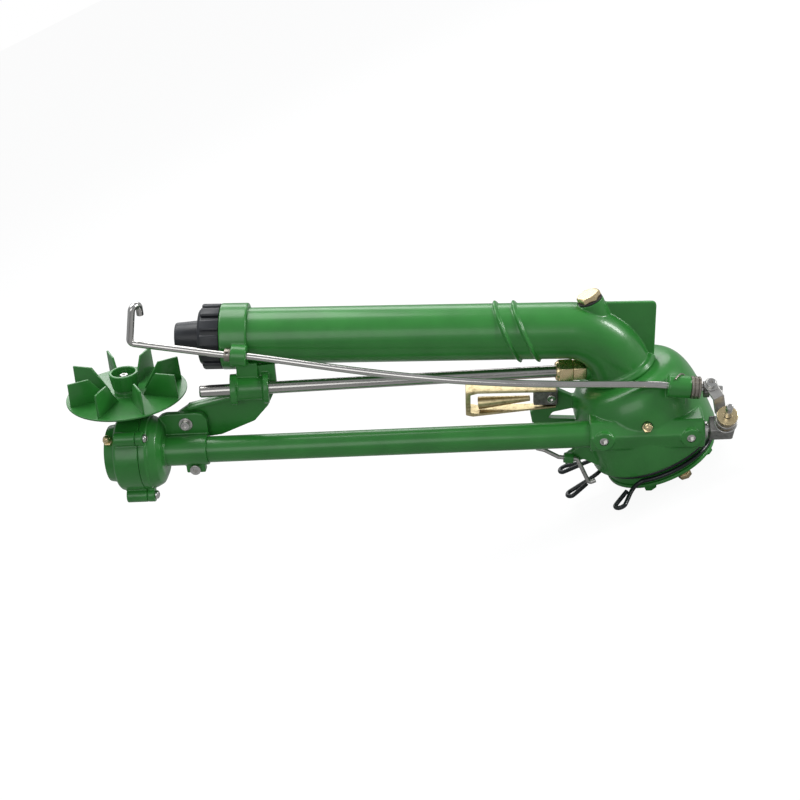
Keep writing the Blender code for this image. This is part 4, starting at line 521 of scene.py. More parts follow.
class Paint(Graph):
    """Material on a Principled shader, with patterns in millimetres on Object coordinates."""

    def __init__(self, name, colour, **sockets):
        self.material = bpy.data.materials.new(name)
        self.material.use_nodes = True
        super().__init__(self.material.node_tree)
        self.shader = next(n for n in self.nodes if n.type == "BSDF_PRINCIPLED")
        self.shader.inputs["Base Color"].default_value = (*colour, 1)
        for key, value in sockets.items():
            self.shader.inputs[key.replace("_", " ").title().replace("Ior", "IOR")].default_value = value
        self.place = self.node("ShaderNodeTexCoord", output="Object")

    def mapped(self, place, stretch):
        """Coordinates in the given frame, in millimetres, squeezed by stretch along its axes."""
        turn = place.to_3x3().normalized().inverted().to_euler()
        scale = tuple(s / METRES for s in stretch)
        aligned = self.node("ShaderNodeMapping", {"vector_type": "POINT"},
                            {"Vector": self.place, "Rotation": turn})
        return self.node("ShaderNodeMapping", {"vector_type": "POINT"}, {"Vector": aligned, "Scale": scale})

    def noise(self, size, detail=2.0, roughness=0.5, at=None):
        """Noise with features of about size millimetres."""
        values = {"Vector": at or self.place, "Scale": (1 if at else 1 / METRES) / size, "Detail": detail,
                  "Roughness": roughness}
        return self.node("ShaderNodeTexNoise", None, values)

    def level(self, factor, low, high, to_low=0.0, to_high=1.0):
        """Map factor from low..high to to_low..to_high and clamp it."""
        return self.node("ShaderNodeMapRange", {"clamp": True},
                         {"Value": factor, "From Min": low, "From Max": high, "To Min": to_low,
                          "To Max": to_high})

    def feed(self, socket, value):
        self.links.new(value.socket, self.shader.inputs[socket])

    def tint(self, factor, first, second):
        """Colour between two plain ones by factor."""
        colours = {0: factor, 6: (*first, 1), 7: (*second, 1)}
        self.feed("Base Color", self.node("ShaderNodeMix", {"data_type": "RGBA"}, colours, 2))

    def roughen(self, factor, low, high, smooth, rough):
        self.feed("Roughness", self.level(factor, low, high, smooth, rough))

    def bump(self, height, strength, depth):
        """Relief from a height pattern, depth millimetres deep."""
        self.feed("Normal", self.node("ShaderNodeBump", None,
                                      {"Height": height, "Strength": strength, "Distance": depth * METRES}))


GREEN = (0.027, 0.228, 0.031)


def enamel(name, lift=1.0):
    """Smooth gloss enamel over cast or drawn metal, with a faint waviness and mottling."""
    colour = tuple(c * lift for c in GREEN)
    paint = Paint(name, colour, roughness=0.34, coat_weight=0.4, coat_roughness=0.16)
    cloud = paint.noise(38, 3)
    darker = tuple(c * 0.88 for c in colour)
    lighter = (colour[0] * 1.15, colour[1] * 1.07, colour[2] * 1.12)
    paint.tint(paint.level(cloud, 0.35, 0.68), darker, lighter)
    paint.roughen(paint.noise(9, 3), 0.3, 0.75, 0.30, 0.38)
    paint.bump(paint.noise(11, 2), 0.10, 0.08)
    return paint.material


def drawn_steel(name, place, colour=(0.66, 0.645, 0.62), roughness=0.18):
    """Stainless bar with fine draw lines along its X."""
    paint = Paint(name, colour, metallic=1.0, roughness=roughness)
    lines = paint.noise(1.0, 3, at=paint.mapped(place, (0.02, 2.2, 2.2)))
    stain = paint.noise(30, 4)
    darker = tuple(c * 0.86 for c in colour)
    paint.tint(paint.level(lines * 0.3 + stain * 0.7, 0.36, 0.62), darker, colour)
    paint.roughen(lines, 0.3, 0.7, roughness - 0.03, roughness + 0.05)
    paint.bump(lines, 0.05, 0.01)
    return paint.material


def turned_metal(name, colour, roughness, stain_colour, amount=0.5, grain=1.2):
    """Turned or machined metal with tool marks, tarnish and small pits."""
    paint = Paint(name, colour, metallic=1.0, roughness=roughness)
    stain = paint.noise(7, 5, 0.6)
    speck = paint.noise(grain, 3, 0.6)
    worn = paint.level(stain * 0.7 + speck * 0.3, 0.62 - 0.25 * amount, 0.72)
    paint.tint(worn, colour, stain_colour)
    paint.roughen(speck, 0.3, 0.7, roughness * 0.8, roughness * 1.4)
    paint.bump(speck, 0.25, 0.05)
    return paint.material


def cast_grey(name, colour=(0.30, 0.29, 0.275), roughness=0.42):
    """Bare cast metal with a pebbled skin and darker hollows."""
    paint = Paint(name, colour, metallic=0.85, roughness=roughness)
    skin = paint.noise(1.1, 4, 0.6)
    blotch = paint.noise(6, 4)
    paint.tint(paint.level(blotch * 0.5 + skin * 0.5, 0.38, 0.62), tuple(c * 0.45 for c in colour), colour)
    paint.roughen(skin, 0.3, 0.7, roughness - 0.08, roughness + 0.14)
    paint.bump(skin, 0.5, 0.10)
    return paint.material


def moulded_black(name, colour=(0.017, 0.019, 0.023), roughness=0.36, pebble=0.8):
    """Black plastic or coating with a finely pebbled skin."""
    paint = Paint(name, colour, roughness=roughness, specular_ior_level=0.5)
    skin = paint.noise(pebble, 3)
    haze = paint.noise(18, 3)
    paint.tint(paint.level(haze, 0.35, 0.7), colour, tuple(c * 1.5 for c in colour))
    paint.roughen(haze * 0.5 + skin * 0.5, 0.3, 0.7, roughness - 0.07, roughness + 0.13)
    paint.bump(skin, 0.2, 0.05)
    return paint.material


# Looks, each the part's material slot and the finish that shows it

CAST_GREEN = "green_paint", enamel("cast green enamel")
TUBE_GREEN = "green_paint", enamel("tube green enamel", 1.04)
WHEEL_GREEN = "green_paint", enamel("wheel green enamel", 0.92)
ROD_STEEL = "stainless_steel", drawn_steel("drawn steel along the rod", ROD)
TUBE_STEEL = "stainless_steel", drawn_steel("drawn steel along the jet tube", GUN, (0.56, 0.545, 0.52), 0.20)
SHAFT_STEEL = "stainless_steel", drawn_steel("drawn steel along the shaft", SHAFT)
SCREW_STEEL = "stainless_steel", turned_metal("bright screw steel", (0.66, 0.65, 0.63), 0.22,
                                              (0.35, 0.33, 0.30))
LEVER_STEEL = "stainless_steel", turned_metal("satin lever steel", (0.56, 0.55, 0.53), 0.36,
                                              (0.34, 0.32, 0.30), 0.6)
GREY_CAST = "grey_metal", cast_grey("grey cast metal")
STRAP_GREY = "stainless_steel", cast_grey("pale cast metal", (0.46, 0.45, 0.43), 0.40)
YELLOW_BRASS = "brass", turned_metal("turned yellow brass", (0.84, 0.68, 0.40), 0.24, (0.55, 0.40, 0.20), 0.3)
CAST_BRASS = "brass", turned_metal("cast brass", (0.74, 0.62, 0.36), 0.36, (0.34, 0.25, 0.12), 0.55, 2.0)
BEARING_BRONZE = "bronze", turned_metal("bearing bronze", (0.50, 0.34, 0.17), 0.35, (0.24, 0.15, 0.07))
NOZZLE_BLACK = "black_plastic", moulded_black("moulded nozzle black")
WIRE_BLACK = "black_wire", moulded_black("coated wire black", (0.008, 0.012, 0.013), 0.24)
SEAL_RUBBER = "rubber", moulded_black("seal rubber", (0.022, 0.022, 0.022), 0.60, 1.4)
RING_GREY = turned_metal("grooved ring metal", (0.36, 0.33, 0.29), 0.38, (0.18, 0.15, 0.12), 0.6)
RING_STEEL = "stainless_steel", RING_GREY
RING_BRONZE = "bronze", RING_GREY

ROUND_PATTERN = round_pattern_tree()
BENT_WIRE = bent_wire_tree()
SCREW_SEATS = screw_seats_tree()

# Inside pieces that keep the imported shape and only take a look
KEPT_LOOKS = (
    (BEARING_BRONZE, ("ring_gear", "slewing_bush", "front_shaft_bush", "rear_shaft_bush", "turbine_bush",
                      "worm_wheel")),
    (SHAFT_STEEL, ("flow_straightener", "drive_shaft", "turbine_shaft")),
    (SEAL_RUBBER, ("water_seal", "drum_seal", "turbine_seal")),
    (SCREW_STEEL, ("sleeve_nut",)),
)


# Base

def base():
    neck = [(28.3, 0), (HUB_R, 0), (HUB_R, COLLAR_LOW), (COLLAR_R, COLLAR_LOW), (COLLAR_R, COLLAR_HIGH),
            (44, COLLAR_HIGH), (44, 60), (38, 71.7), (28.5, 71.7), (28.5, 118), (24.5, 118), (24.5, 32),
            (28.3, 25)]
    piece("base_casting", [lathe(neck, soft=1.2)], ROOT, "base", CAST_GREEN, ["base_body"])
    piece("base_flange", [ring(FLANGE_R, HUB_R + 0.3, 14, 18, 0.9)], ROOT, "base", CAST_GREEN, ["base_plate"])
    at = moved(BOLT_CIRCLE, 0, 0)
    first_bolt, plug_turn = spun(-113.5), spun(-69.5)
    bolt = [(slab(hexagon(13, 0.3), 5.7, 13.7, 0.6), at), (bar(3, 13, 27, steps=24), at)]
    repeated("base_bolts", bolt, 4, first_bolt, "base", CAST_GREEN,
             ["base_bolt_%d" % i for i in (1, 2, 3, 4)])
    plug = [bar(8.5, 11.4, 13.7, soft=0.5), bar(6, 9.2, 11.6), slab(hexagon(14), 3.7, 9.6, 0.8)]
    piece("drain_plug_brass", plug, plug_turn @ at, "base", YELLOW_BRASS, ["drain_plug"])


def stop_ring_path(height, start, end, reaches):
    """Round the collar, with an arm out and back in a teardrop loop at each end."""
    slope = 0.171
    loop_r, loop_return, loop_closing = 6.5, 20, 7.2
    bend_out = 9

    def at(radius, turn):
        return Vector((*polar(radius, turn), height - slope * (radius - STOP_RING_R)))

    def arm(turn, side, reach):
        out = Vector((*polar(1, turn), 0))
        across = Vector((-math.sin(turn), math.cos(turn), 0)) * side
        loop = at(reach, turn)
        back = [loop + across * loop_r * (1 - math.cos(a)) + out * loop_r * math.sin(a)
                for a in (math.pi * k / 8 for k in range(9))]
        tail = back[-1] - (out - Vector((0, 0, slope))) * loop_return - across * loop_closing
        return [at(STOP_RING_R + bend_out, turn)] + back + [tail]

    ring_points = [at(STOP_RING_R, start + (end - start) * i / 48) for i in range(49)]
    bend = math.radians(7)
    return list(reversed(arm(start - bend, -1, reaches[0]))) + ring_points + arm(end + bend, 1, reaches[1])


def eased(points):
    """Path with its corners cut again and again until it looks bent, not broken."""
    for _ in range(2):
        finer = [points[0]]
        for a, b in zip(points, points[1:]):
            finer += [a.lerp(b, 0.25), a.lerp(b, 0.75)]
        points = finer + [points[-1]]
    return points


def stop_rings():
    rings = (("upper", 31.8, -187.7, 98, (120, 104)), ("lower", 24.5, -114.2, 177, (101, 112)))
    for name, height, start, end, reaches in rings:
        path = eased(stop_ring_path(height, math.radians(start), math.radians(end), reaches))
        wire(name + "_stop_wire", path, STOP_WIRE_R, ROOT, name + "_ring", WIRE_BLACK, [name + "_stop_ring"])


# Drum

def dome_outline():
    """Straight side and a squarish dome."""
    neck = RISER_R + 4.5
    squareness = 0.7
    points = [(DRUM_R - 2, DRUM_LOW), (DRUM_R, DRUM_LOW + 2)]
    for i in range(25):
        turn = math.pi / 2 * i / 24
        radius = neck + (DRUM_R - neck) * math.cos(turn) ** squareness
        points.append((max(radius, neck), SHOULDER + (DOME_TOP - SHOULDER) * math.sin(turn) ** squareness))
    return points + [(0, DOME_TOP), (0, DRUM_LOW)]


def drum():
    section = [(BLOCK_R * math.sin(a), BLOCK_R * math.cos(a)) for a in map(math.radians, (27, 80, 132, 170))]
    section += [(-28, -16), (-32, 6), (-20, 19)]
    shaft_block = slab([(z, -y) for y, z in section], -BLOCK_HALF, BLOCK_HALF, 2.2)
    forms = [lathe(dome_outline()), (shaft_block, SHAFT @ LENGTHWISE)]
    cuts = [lathe([(0, 33), (66, 33), (66, 84), (59, 94), (0, 94)], 64),
            lathe([(0, 92), (32, 92), (32, 104), (36, 104), (36, 136), (0, 136)], 64),
            (lathe([(0, -65.5), (10.5, -65.5), (10.5, -23), (14.4, -23), (14.4, 23), (10.5, 23), (10.5, 43.5),
                    (15.3, 43.5), (15.3, 65.5), (0, 65.5)], 48), SHAFT @ LENGTHWISE)]
    for station in SET_SCREWS.values():
        seat = SHAFT @ along((station, 0, 0), (0, 1, 0))
        forms.append((bar(11, 8, BLOCK_R + 0.6, soft=0.8), seat))
        cuts.append((bar(5.1, BLOCK_R - 5.5, BLOCK_R + 6), seat))
    cheek = [(-97, 77), (-101, 67), (-79, 64), (-69, 51), (-50, 50), (-50, 84), (-72, 82)]
    trip_way = along(TRIP_EYE, TRIP_END - TRIP_EYE)
    strut = [(-40, 112), (-66, 123), (-76, 135), (-84, 145), (-97, 141), (-101, 127), (-108, 126),
             (-118, 123), (-121, 110), (-108, 98), (-72, 80), (-40, 72)]
    window = [(-70, 108), (-94, 113), (-102, 108), (-72, 93)]
    forms += [(bar(12.4, -9, 16, soft=0.8), ROD @ LENGTHWISE), (block((22, 16, 26), (4, -12, -10)), ROD),
              (slab(cheek, 27, 36), UPRIGHT), (bar(6, -5.5, 5.5), trip_way),
              (slab(strut, -18.6, -9.6), UPRIGHT)]
    cuts += [(bar(ROD_R + 0.35, -40, 40), ROD @ LENGTHWISE), (bar(2.8, -30, 30, steps=32), trip_way),
             (slab(window, -60, 20, 2.0), UPRIGHT), (bar(3.3, -40, 20, steps=32), PIVOT @ SIDEWAYS),
             (bar(6.8, 0, 20), SHAFT @ nipple_place(18.6, 0, 50))]
    casting("drum_casting", forms, ROOT, "gun", CAST_GREEN, ["drum_housing"], cuts, 1.0, 4)


def nipple_place(radius, station, degrees):
    turn = math.radians(degrees)
    outward = Vector((0, math.sin(turn), math.cos(turn)))
    return along(Vector((station, 0, 0)) + outward * radius, outward, (1, 0, 0))


def grease_nipples():
    """Hex foot, waist and ball head."""
    head = [(0, 3), (3.6, 3), (3.0, 4.2), (2.9, 5), (4.1, 6.2), (4.5, 7.6), (4.1, 9.2), (2.4, 10.8),
            (0, 11.4)]
    for name, radius, station, degrees in (("gearbox_nipple", 33.9, 604, 39), ("block_nipple", 18.9, 0, 50)):
        forms = [slab(hexagon(10.5), 0.1, 3.6, 0.6), lathe(head, soft=0.5, steps=32)]
        piece(name + "_brass", forms, SHAFT @ nipple_place(radius, station, degrees), "gun", YELLOW_BRASS,
              [name])


# Elbow

def elbow_path():
    bend = 62.0
    tangent = bend * math.tan((math.pi / 2 - RISE) / 2)
    rise_end = Vector((0, 0, CROSSING - tangent))
    points = [Vector((0, 0, 124)), Vector((0, 0, 132)), Vector((0, 0, 140))]
    points += arc(rise_end + Vector((-bend, 0, 0)), rise_end, Vector((0, 1, 0)), -(math.pi / 2 - RISE), 20)
    return points + [Vector((0, 0, CROSSING)) + Vector((-math.cos(RISE), 0, math.sin(RISE))) * ELBOW_END]


def elbow():
    points = elbow_path()
    last = len(points) - 1
    radii = [RISER_R + (BARREL_R - RISER_R) * min(i / (last - 1), 1) for i in range(last + 1)]
    bead = [(30.5, 134.3), (40, 134.3), (40, 137), (38.4, 138), (38.4, 140), (36.5, 141), (30.5, 145)]
    fin = [(-57.5, -30), (2, -30), (2, 34), (-52.5, 34), (-55.3, 33.2), (-57, 31.4), (-57.5, 29)]
    boss = [(0, -62), (13.5, -62), (12.5, -31), (0, -31)]
    forms = [sleeve(points, radii, 72), lathe(bead), bar(14.5, 196.5, PLUG_SEAT),
             (slab(fin, -2.5, 2.5), GUN @ UPRIGHT), (lathe(boss), JET_TUBE)]
    for station in (87, 108):
        rib = lathe([(29, -2.8), (34.4, -1.7), (35.4, 0), (34.4, 1.7), (29, 2.8)])
        shear = Matrix(((1, 0, math.tan(RISE), station), (0, 1, 0, 0), (0, 0, 1, 0), (0, 0, 0, 1)))
        forms.append((rib, GUN @ shear @ LENGTHWISE))
    beyond = points[-1] + GUN.to_3x3() @ Vector((3, 0, 0))
    bore_points = [points[0] - Vector((0, 0, 3))] + points[1:-1] + [beyond]
    bore = [RISER_BORE + (BARREL_BORE - RISER_BORE) * i / last for i in range(last + 1)]
    cuts = [sleeve(bore_points, bore, 48), bar(15.4, PLUG_SEAT, 245), bar(7, 180, 230),
            (bar(15, -31, 20), JET_TUBE), (bar(5, -90, 0), JET_TUBE)]
    casting("elbow_casting", forms, ROOT, "gun", CAST_GREEN, ["riser_elbow"], cuts, 0.85, 3)


def elbow_plug():
    low = PLUG_SEAT + 2.6
    high = low + 6.5
    piece("plug_joint_ring", [ring(14, 6.8, PLUG_SEAT + 0.3, low - 0.3, 0.5)], ROOT, "gun", SEAL_RUBBER,
          ["plug_washer"])
    crown = lathe([(0, low - 1), (14, low - 1), (14, high - 1.8), (11.9, high), (0, high)])
    plug = cut_form("elbow_plug_brass", [slab(hexagon(24), low, high, 0.4)], [crown], "INTERSECT")
    placed(plug, ROOT, "gun", YELLOW_BRASS, ["elbow_plug"], 25)


# Barrel and nozzle

def barrel():
    start, outer = ELBOW_END - 5, BARREL_R + 0.06
    tube = [(BARREL_BORE, start), (outer, start), (outer, CLAMP_END - 2), (BARREL_BORE, CLAMP_END - 2)]
    piece("barrel_tube", [turned(tube, steps=128)], GUN, "gun", TUBE_GREEN, ["barrel"])


def clamp():
    """Ring on the barrel's end with the rod boss, the tube spool and the gearbox arm cast on it."""
    collar = [(31, CLAMP_AT), (36.8, CLAMP_AT), (37.6, CLAMP_AT + 1), (37.6, CLAMP_END - 1),
              (36.6, CLAMP_END), (31, CLAMP_END)]
    forms = [turned(collar, 0.8)]
    rod = GUN.inverted() @ ROD
    tube = GUN.inverted() @ JET_TUBE
    forms.append((bar(11.9, ROD_LONG - 13, ROD_LONG + 4.4, soft=0.8), rod @ LENGTHWISE))
    low = TUBE_LONG - 78
    spool = [(0, low), (17.8, low), (17.8, low + 6), (13.2, low + 7), (13.2, low + 35), (17.8, low + 36),
             (17.8, low + 43), (0, low + 43)]
    forms.append((lathe(spool, soft=0.6), tube))
    forms.append(block((24, 15, 34), (402, 22, -38)))
    arm = [(489, -86), (472, -74), (422, -60), (398, -48), (390, -26), (371, -24), (370, -52), (381.5, -76),
           (398, -95), (437, -112), (462, -116), (486, -104)]
    forms.append((slab(arm, -25, -18), UPRIGHT))
    tilt = moved(443, 23, -69.3) @ spun(13.5, "Y")
    forms.append((block((62, 14, 4)), tilt))
    cuts = [(bar(7.3, TUBE_LONG - 94, TUBE_LONG - 6), tube),
            (bar(32.3, CLAMP_AT - 45, CLAMP_END + 2, steps=96), LENGTHWISE),
            (bar(4.35, ROD_LONG - 30, ROD_LONG + 20), rod @ LENGTHWISE)]
    casting("clamp_ring_casting", forms, GUN, "gun", CAST_GREEN, ["clamp_casting"], cuts, 0.8, 3)


def nozzle_nut():
    """Black ring nut with grip lobes round a plain face."""
    start = CLAMP_END + 0.3
    body = [(19.9, start + 19), (30, start + 16), (30, start), (33.4, start), (33.4, start + 20.6),
            (30.2, start + 24.6), (19.9, start + 24.6)]
    piece("nozzle_nut_body", [turned(body, 0.8)], GUN, "gun", NOZZLE_BLACK, ["nozzle_nut"])
    share = TAU / GRIP_LOBES
    flank = [(32.8, 0.38), (35.8, 0.37), (36.9, 0.31), (37.2, 0.22)]
    edge = [(r, -t) for r, t in flank] + flank[::-1]
    lobe = [polar(r, share * t) for r, t in edge]
    grip = slab(lobe, start, start + 20.6, 0.5)
    repeated("nozzle_nut_grips", [grip], GRIP_LOBES, GUN @ LENGTHWISE @ spun(15), "gun", NOZZLE_BLACK)


def nozzle_cone():
    start = CLAMP_END + 0.3
    outline = [(26, start), (29.7, start), (29.7, start + 5), (19.4, start + 17), (18.7, NUT_END + 0.3),
               (16.6, NOZZLE_TIP - 4), (16.4, NOZZLE_TIP - 1.4), (15.4, NOZZLE_TIP + 0.2),
               (11, NOZZLE_TIP + 0.2), (11, NOZZLE_TIP - 6), (16.5, start + 14)]
    piece("nozzle_cone_black", [turned(outline, 0.6)], GUN, "gun", NOZZLE_BLACK, ["nozzle_cone"])


# Jet tube

def jet_tube():
    outline = [(5, 2), (7, 2), (7, TUBE_LONG - 1.6), (5.8, TUBE_LONG), (5, TUBE_LONG)]
    piece("jet_tube_steel", [lathe(outline, 64)], JET_TUBE, "gun", TUBE_STEEL, ["jet_tube"])
    bore = lathe([(0, -20), (5, -20), (5, 1.7), (7.3, 1.7), (7.3, 12), (0, 12)], 48)
    nut = slab(hexagon(25), -15.7, 0, 0.6)
    piece("fitting_nut_brass", [nut], JET_TUBE, "gun", YELLOW_BRASS, ["fitting_nut"], [bore])
    nose = lathe([(7.4, -1), (11.2, -1), (10.2, 3), (7.4, 3)], soft=0.8)
    piece("fitting_nut_nose", [nose], JET_TUBE, "gun", YELLOW_BRASS)
    piece("fitting_body_brass", [slab(hexagon(23), -30.7, -16, 0.7)], JET_TUBE, "gun", YELLOW_BRASS,
          ["fitting_body"], [bar(5, -40, 0)])


# Drive line

def drive_tube():
    outline = [(12, 43.8), (15, 43.8), (15, SOCKET_AT + 36), (12, SOCKET_AT + 36)]
    piece("drive_tube_green", [turned(outline, 0.4)], SHAFT, "gun", TUBE_GREEN, ["drive_tube"])


def lugs(low, high, radius):
    return [(bar(radius, low, high, steps=32), moved(0, *lug) @ LENGTHWISE) for lug in LUGS]


def gearbox():
    turbine_way = SHAFT.inverted() @ TURBINE
    joint = JOINT_AT + 0.3
    case = [(0, joint), (CASE_R, joint), (CASE_R, BACK_AT - 3), (CASE_R - 3, BACK_AT), (34, BACK_AT),
            (32, NOSE_AT), (0, NOSE_AT)]
    hollow = [(0, joint - 2), (36.5, joint - 2), (36.5, BACK_AT - 4), (9.8, BACK_AT - 4), (9.8, NOSE_AT - 3),
              (0, NOSE_AT - 3)]
    bore = [(0, -31), (4.5, -31), (4.5, 10), (9, 10), (9, DISC_AT - 3), (0, DISC_AT - 3)]
    forms = [turned(case, 1.0, keep=(1,)), *lugs(joint, joint + 24, 8),
             (bar(13, 4, DISC_AT - 5), turbine_way)]
    cuts = [turned(hollow), (lathe(bore, 48), turbine_way), block((4, 200, 200), (joint - 2, 0, 0)),
            *lugs(joint - 2, joint + 8, 2.8)]
    casting("gearbox_front_casting", forms, SHAFT, "gun", CAST_GREEN, ["gearbox_front"], cuts, 0.8, 3)
    flange = JOINT_AT - 8
    cover = [(0, JOINT_AT), (0, flange - 15), (28, flange - 15), (37, flange - 10.5), (41, flange - 3),
             (41.5, flange), (CASE_R, flange), (CASE_R, JOINT_AT)]
    ear = [(SOCKET_AT, 2), (556, 2), (556, 33), (548, 40), (542, 42), (506, 42), (500, 40), (SOCKET_AT, 34)]
    forms = [turned(cover, 1.0, keep=(7,)), *lugs(flange, JOINT_AT, 8),
             (bar(TUBE_R + 2.4, SOCKET_AT, JOINT_AT - 4), LENGTHWISE), (slab(ear, 9, 17), UPRIGHT),
             block((22, 11, 12), (SOCKET_AT + 16, 3.5, -19), 1.0)]
    hollow = [(0, JOINT_AT + 2), (0, flange - 10), (20, flange - 10), (30, flange - 5), (36.5, flange + 1),
              (36.5, JOINT_AT + 2)]
    bore = [(0, SOCKET_AT - 2), (15.3, SOCKET_AT - 2), (15.3, SOCKET_AT + 36.3), (7.5, SOCKET_AT + 36.3),
            (7.5, JOINT_AT), (0, JOINT_AT)]
    cuts = [turned(hollow), turned(bore), block((4, 200, 200), (JOINT_AT + 2, 0, 0)),
            *lugs(flange - 2, JOINT_AT + 2, 2.8)]
    casting("gearbox_rear_casting", forms, SHAFT, "gun", CAST_GREEN, ["gearbox_rear_cover"], cuts, 0.8, 3)
    cap = [(0, NOSE_AT + 0.3), (13.2, NOSE_AT + 0.3), (13.2, NOSE_AT + 3.5), (11.5, NOSE_AT + 5.5),
           (0, NOSE_AT + 5.5)]
    piece("gearbox_cap_green", [turned(cap, 0.7, 48)], SHAFT, "gun", CAST_GREEN, ["gearbox_cap"])


def pan_screw(radius, height, slot):
    """Pan head with a cross recess, its seat at z = 0."""
    head = [(0, 0), (radius, 0), (radius, height * 0.45), (radius * 0.86, height * 0.8),
            (radius * 0.5, height), (0, height)]
    arms = [(block((slot * 2, slot * 0.5, 3), (0, 0, height)), spun(a)) for a in (20, 110)]
    return cut_form("pan_screw", [lathe(head, 32, 0.4)], arms)


def gearbox_screws():
    low = JOINT_AT - 8.3
    screw = pan_screw(5, 4.2, 2.4)
    screw.data.transform(LENGTHWISE @ spun(180, "X"))
    seats = bpy.data.meshes.new("seats")
    seats.from_pydata([(low, *lug) for lug in LUGS], [], [])
    obj = grown(seats, "gearbox_screw_heads", SCREW_SEATS, screw=screw, material=SCREW_STEEL[1])
    bpy.data.objects.remove(screw)
    placed(obj, SHAFT, "gun", SCREW_STEEL, ["gearbox_screw_%d" % i for i in (1, 2, 3, 4)])


def socket_screw(radius, height, hole, washer=0.0):
    """Cap screw with a hex socket, its head lifted by a washer's thickness, its seat at z = 0."""
    head = [(0, washer), (radius, washer), (radius, washer + height), (0, washer + height)]
    socket = slab(hexagon(hole), washer + height * 0.4, washer + height + 2)
    return cut_form("socket_screw", [lathe(head, 48, 0.7)], [socket])


def screw_on_washer(node, washer, screw, place, body):
    """Cap screw of the sizes in screw on a washer of (outer, inner, low, high)."""
    piece(node + "_washer", [ring(*washer, 0.3, 48)], place, body, SCREW_STEEL)
    placed(socket_screw(*screw), place, body, SCREW_STEEL, [node])


def ear_screws():
    at = SHAFT @ along((520.3, -8.7, 29), (0, 1, 0))
    screw_on_washer("ear_screw", (8, 3.2, 0.05, 1.4), (5.4, 5.0, 4.4, 1.45), at, "gun")
    low_at = SHAFT @ along((SOCKET_AT + 16, 9, -19.5), (0, 1, 0))
    placed(socket_screw(6.2, 4.6, 5, 0.1), low_at, "gun", SCREW_STEEL)


def set_screws():
    """Socket set screws sunk in the block's two bosses."""
    for name, station in SET_SCREWS.items():
        screw = lathe([(0, BLOCK_R - 5.4), (5, BLOCK_R - 5.4), (5, BLOCK_R - 0.7), (0, BLOCK_R - 0.7)],
                      soft=0.5, steps=40)
        piece("set_screw_" + name, [screw], SHAFT @ along((station, 0, 0), (0, 1, 0)), "gun", SCREW_STEEL,
              cuts=[slab(hexagon(6.2), BLOCK_R - 4.6, BLOCK_R + 2)])


# Turbine

def turbine():
    low = DISC_AT
    floor = low + 2.6
    disc = [(4.6, low), (68, low), (69, low + 1), (69, floor), (14, floor), (14, floor + 4.5),
            (12.6, floor + 5.5), (12.6, floor + 6.8), (14.4, floor + 7.4), (16.6, low + 27.4),
            (16.6, low + 28.4), (15.9, low + 29), (13.6, low + 29), (13.2, low + 28), (13.2, low + 20.3),
            (4.6, low + 20.3)]
    piece("turbine_disc", [lathe(disc, soft=0.5, steps=128)], TURBINE, "turbine", WHEEL_GREEN,
          ["turbine_wheel"])
    outline = [(21, floor - 1), (66, floor - 1), (65, floor + 28), (41, floor + 28), (22, floor + 1)]
    blade = slab(outline, -1.2, 1.2, 0.45)
    repeated("turbine_blades", [(blade, UPRIGHT)], BLADES, TURBINE @ spun(29), "turbine", WHEEL_GREEN)
    flute = sleeve([Vector((14.1, 0, floor + 8.5)), Vector((16.0, 0, low + 26))], [0.8, 0.8], 12)
    repeated("turbine_hub_flutes", [flute], FLUTES, TURBINE, "turbine", WHEEL_GREEN)
    at = TURBINE @ moved(0, 0, low + 20.6)
    screw_on_washer("turbine_screw", (7.5, 2.6, 0, 1.5), (4.6, 3.4, 3.6, 1.6), at, "turbine")


# Breaker rod and its link

def breaker_rod():
    bow = Vector((0, 0.86, -0.5)) * ROD_BOW
    points = [Vector((-44, 0, 0)), Vector((-20, 0, 0)), Vector((4, 0, 0))]
    low, high = 29.0, ROD_LONG - 17
    for i in range(25):
        share = i / 24
        points.append(Vector((low + (high - low) * share, 0, 0)) + bow * math.sin(math.pi * share) ** 1.15)
    straight = Vector((ROD_LONG + 14, 0, 0))
    corner = Vector((ROD_LONG + HOOK_REACH, 0, 6))
    top = corner + Vector((-3, 0, HOOK_RISE))
    over = top + Vector((-6, -9, 1))
    hook = rounded_path([straight, corner, top, over, over + Vector((-1, -2, -13))], HOOK_BEND, 10)
    wire("breaker_rod_steel", points + [straight] + hook[1:], ROD_R, ROD, "jet_breaker", ROD_STEEL,
         ["breaker_rod"], 32)
    low = ROD_LONG + 4.7
    collar = ring(7.2, 4.3, low, low + 7, 0.6, 64)
    hole = bar(1.9, 4, 10, steps=24), along((low + 3.5, 0, 0), (0, 0.8, 0.6))
    piece("front_collar", [(collar, LENGTHWISE)], ROD, "jet_breaker", RING_STEEL, ["front_rod_collar"],
          [hole])
    ridge = [(4.3, -19.8), (11.8, -19.8), (12.6, -19), (12.6, -17.4), (11.6, -16.9), (11.6, -16.3),
             (12.6, -15.8), (12.6, -13.2), (11.6, -12.7), (11.6, -12.1), (12.6, -11.6), (12.6, -10.1),
             (11.8, -9.3), (4.3, -9.3)]
    piece("rear_ring_grooved", [turned(ridge)], ROD, "jet_breaker", RING_BRONZE, ["rear_rod_ring"])


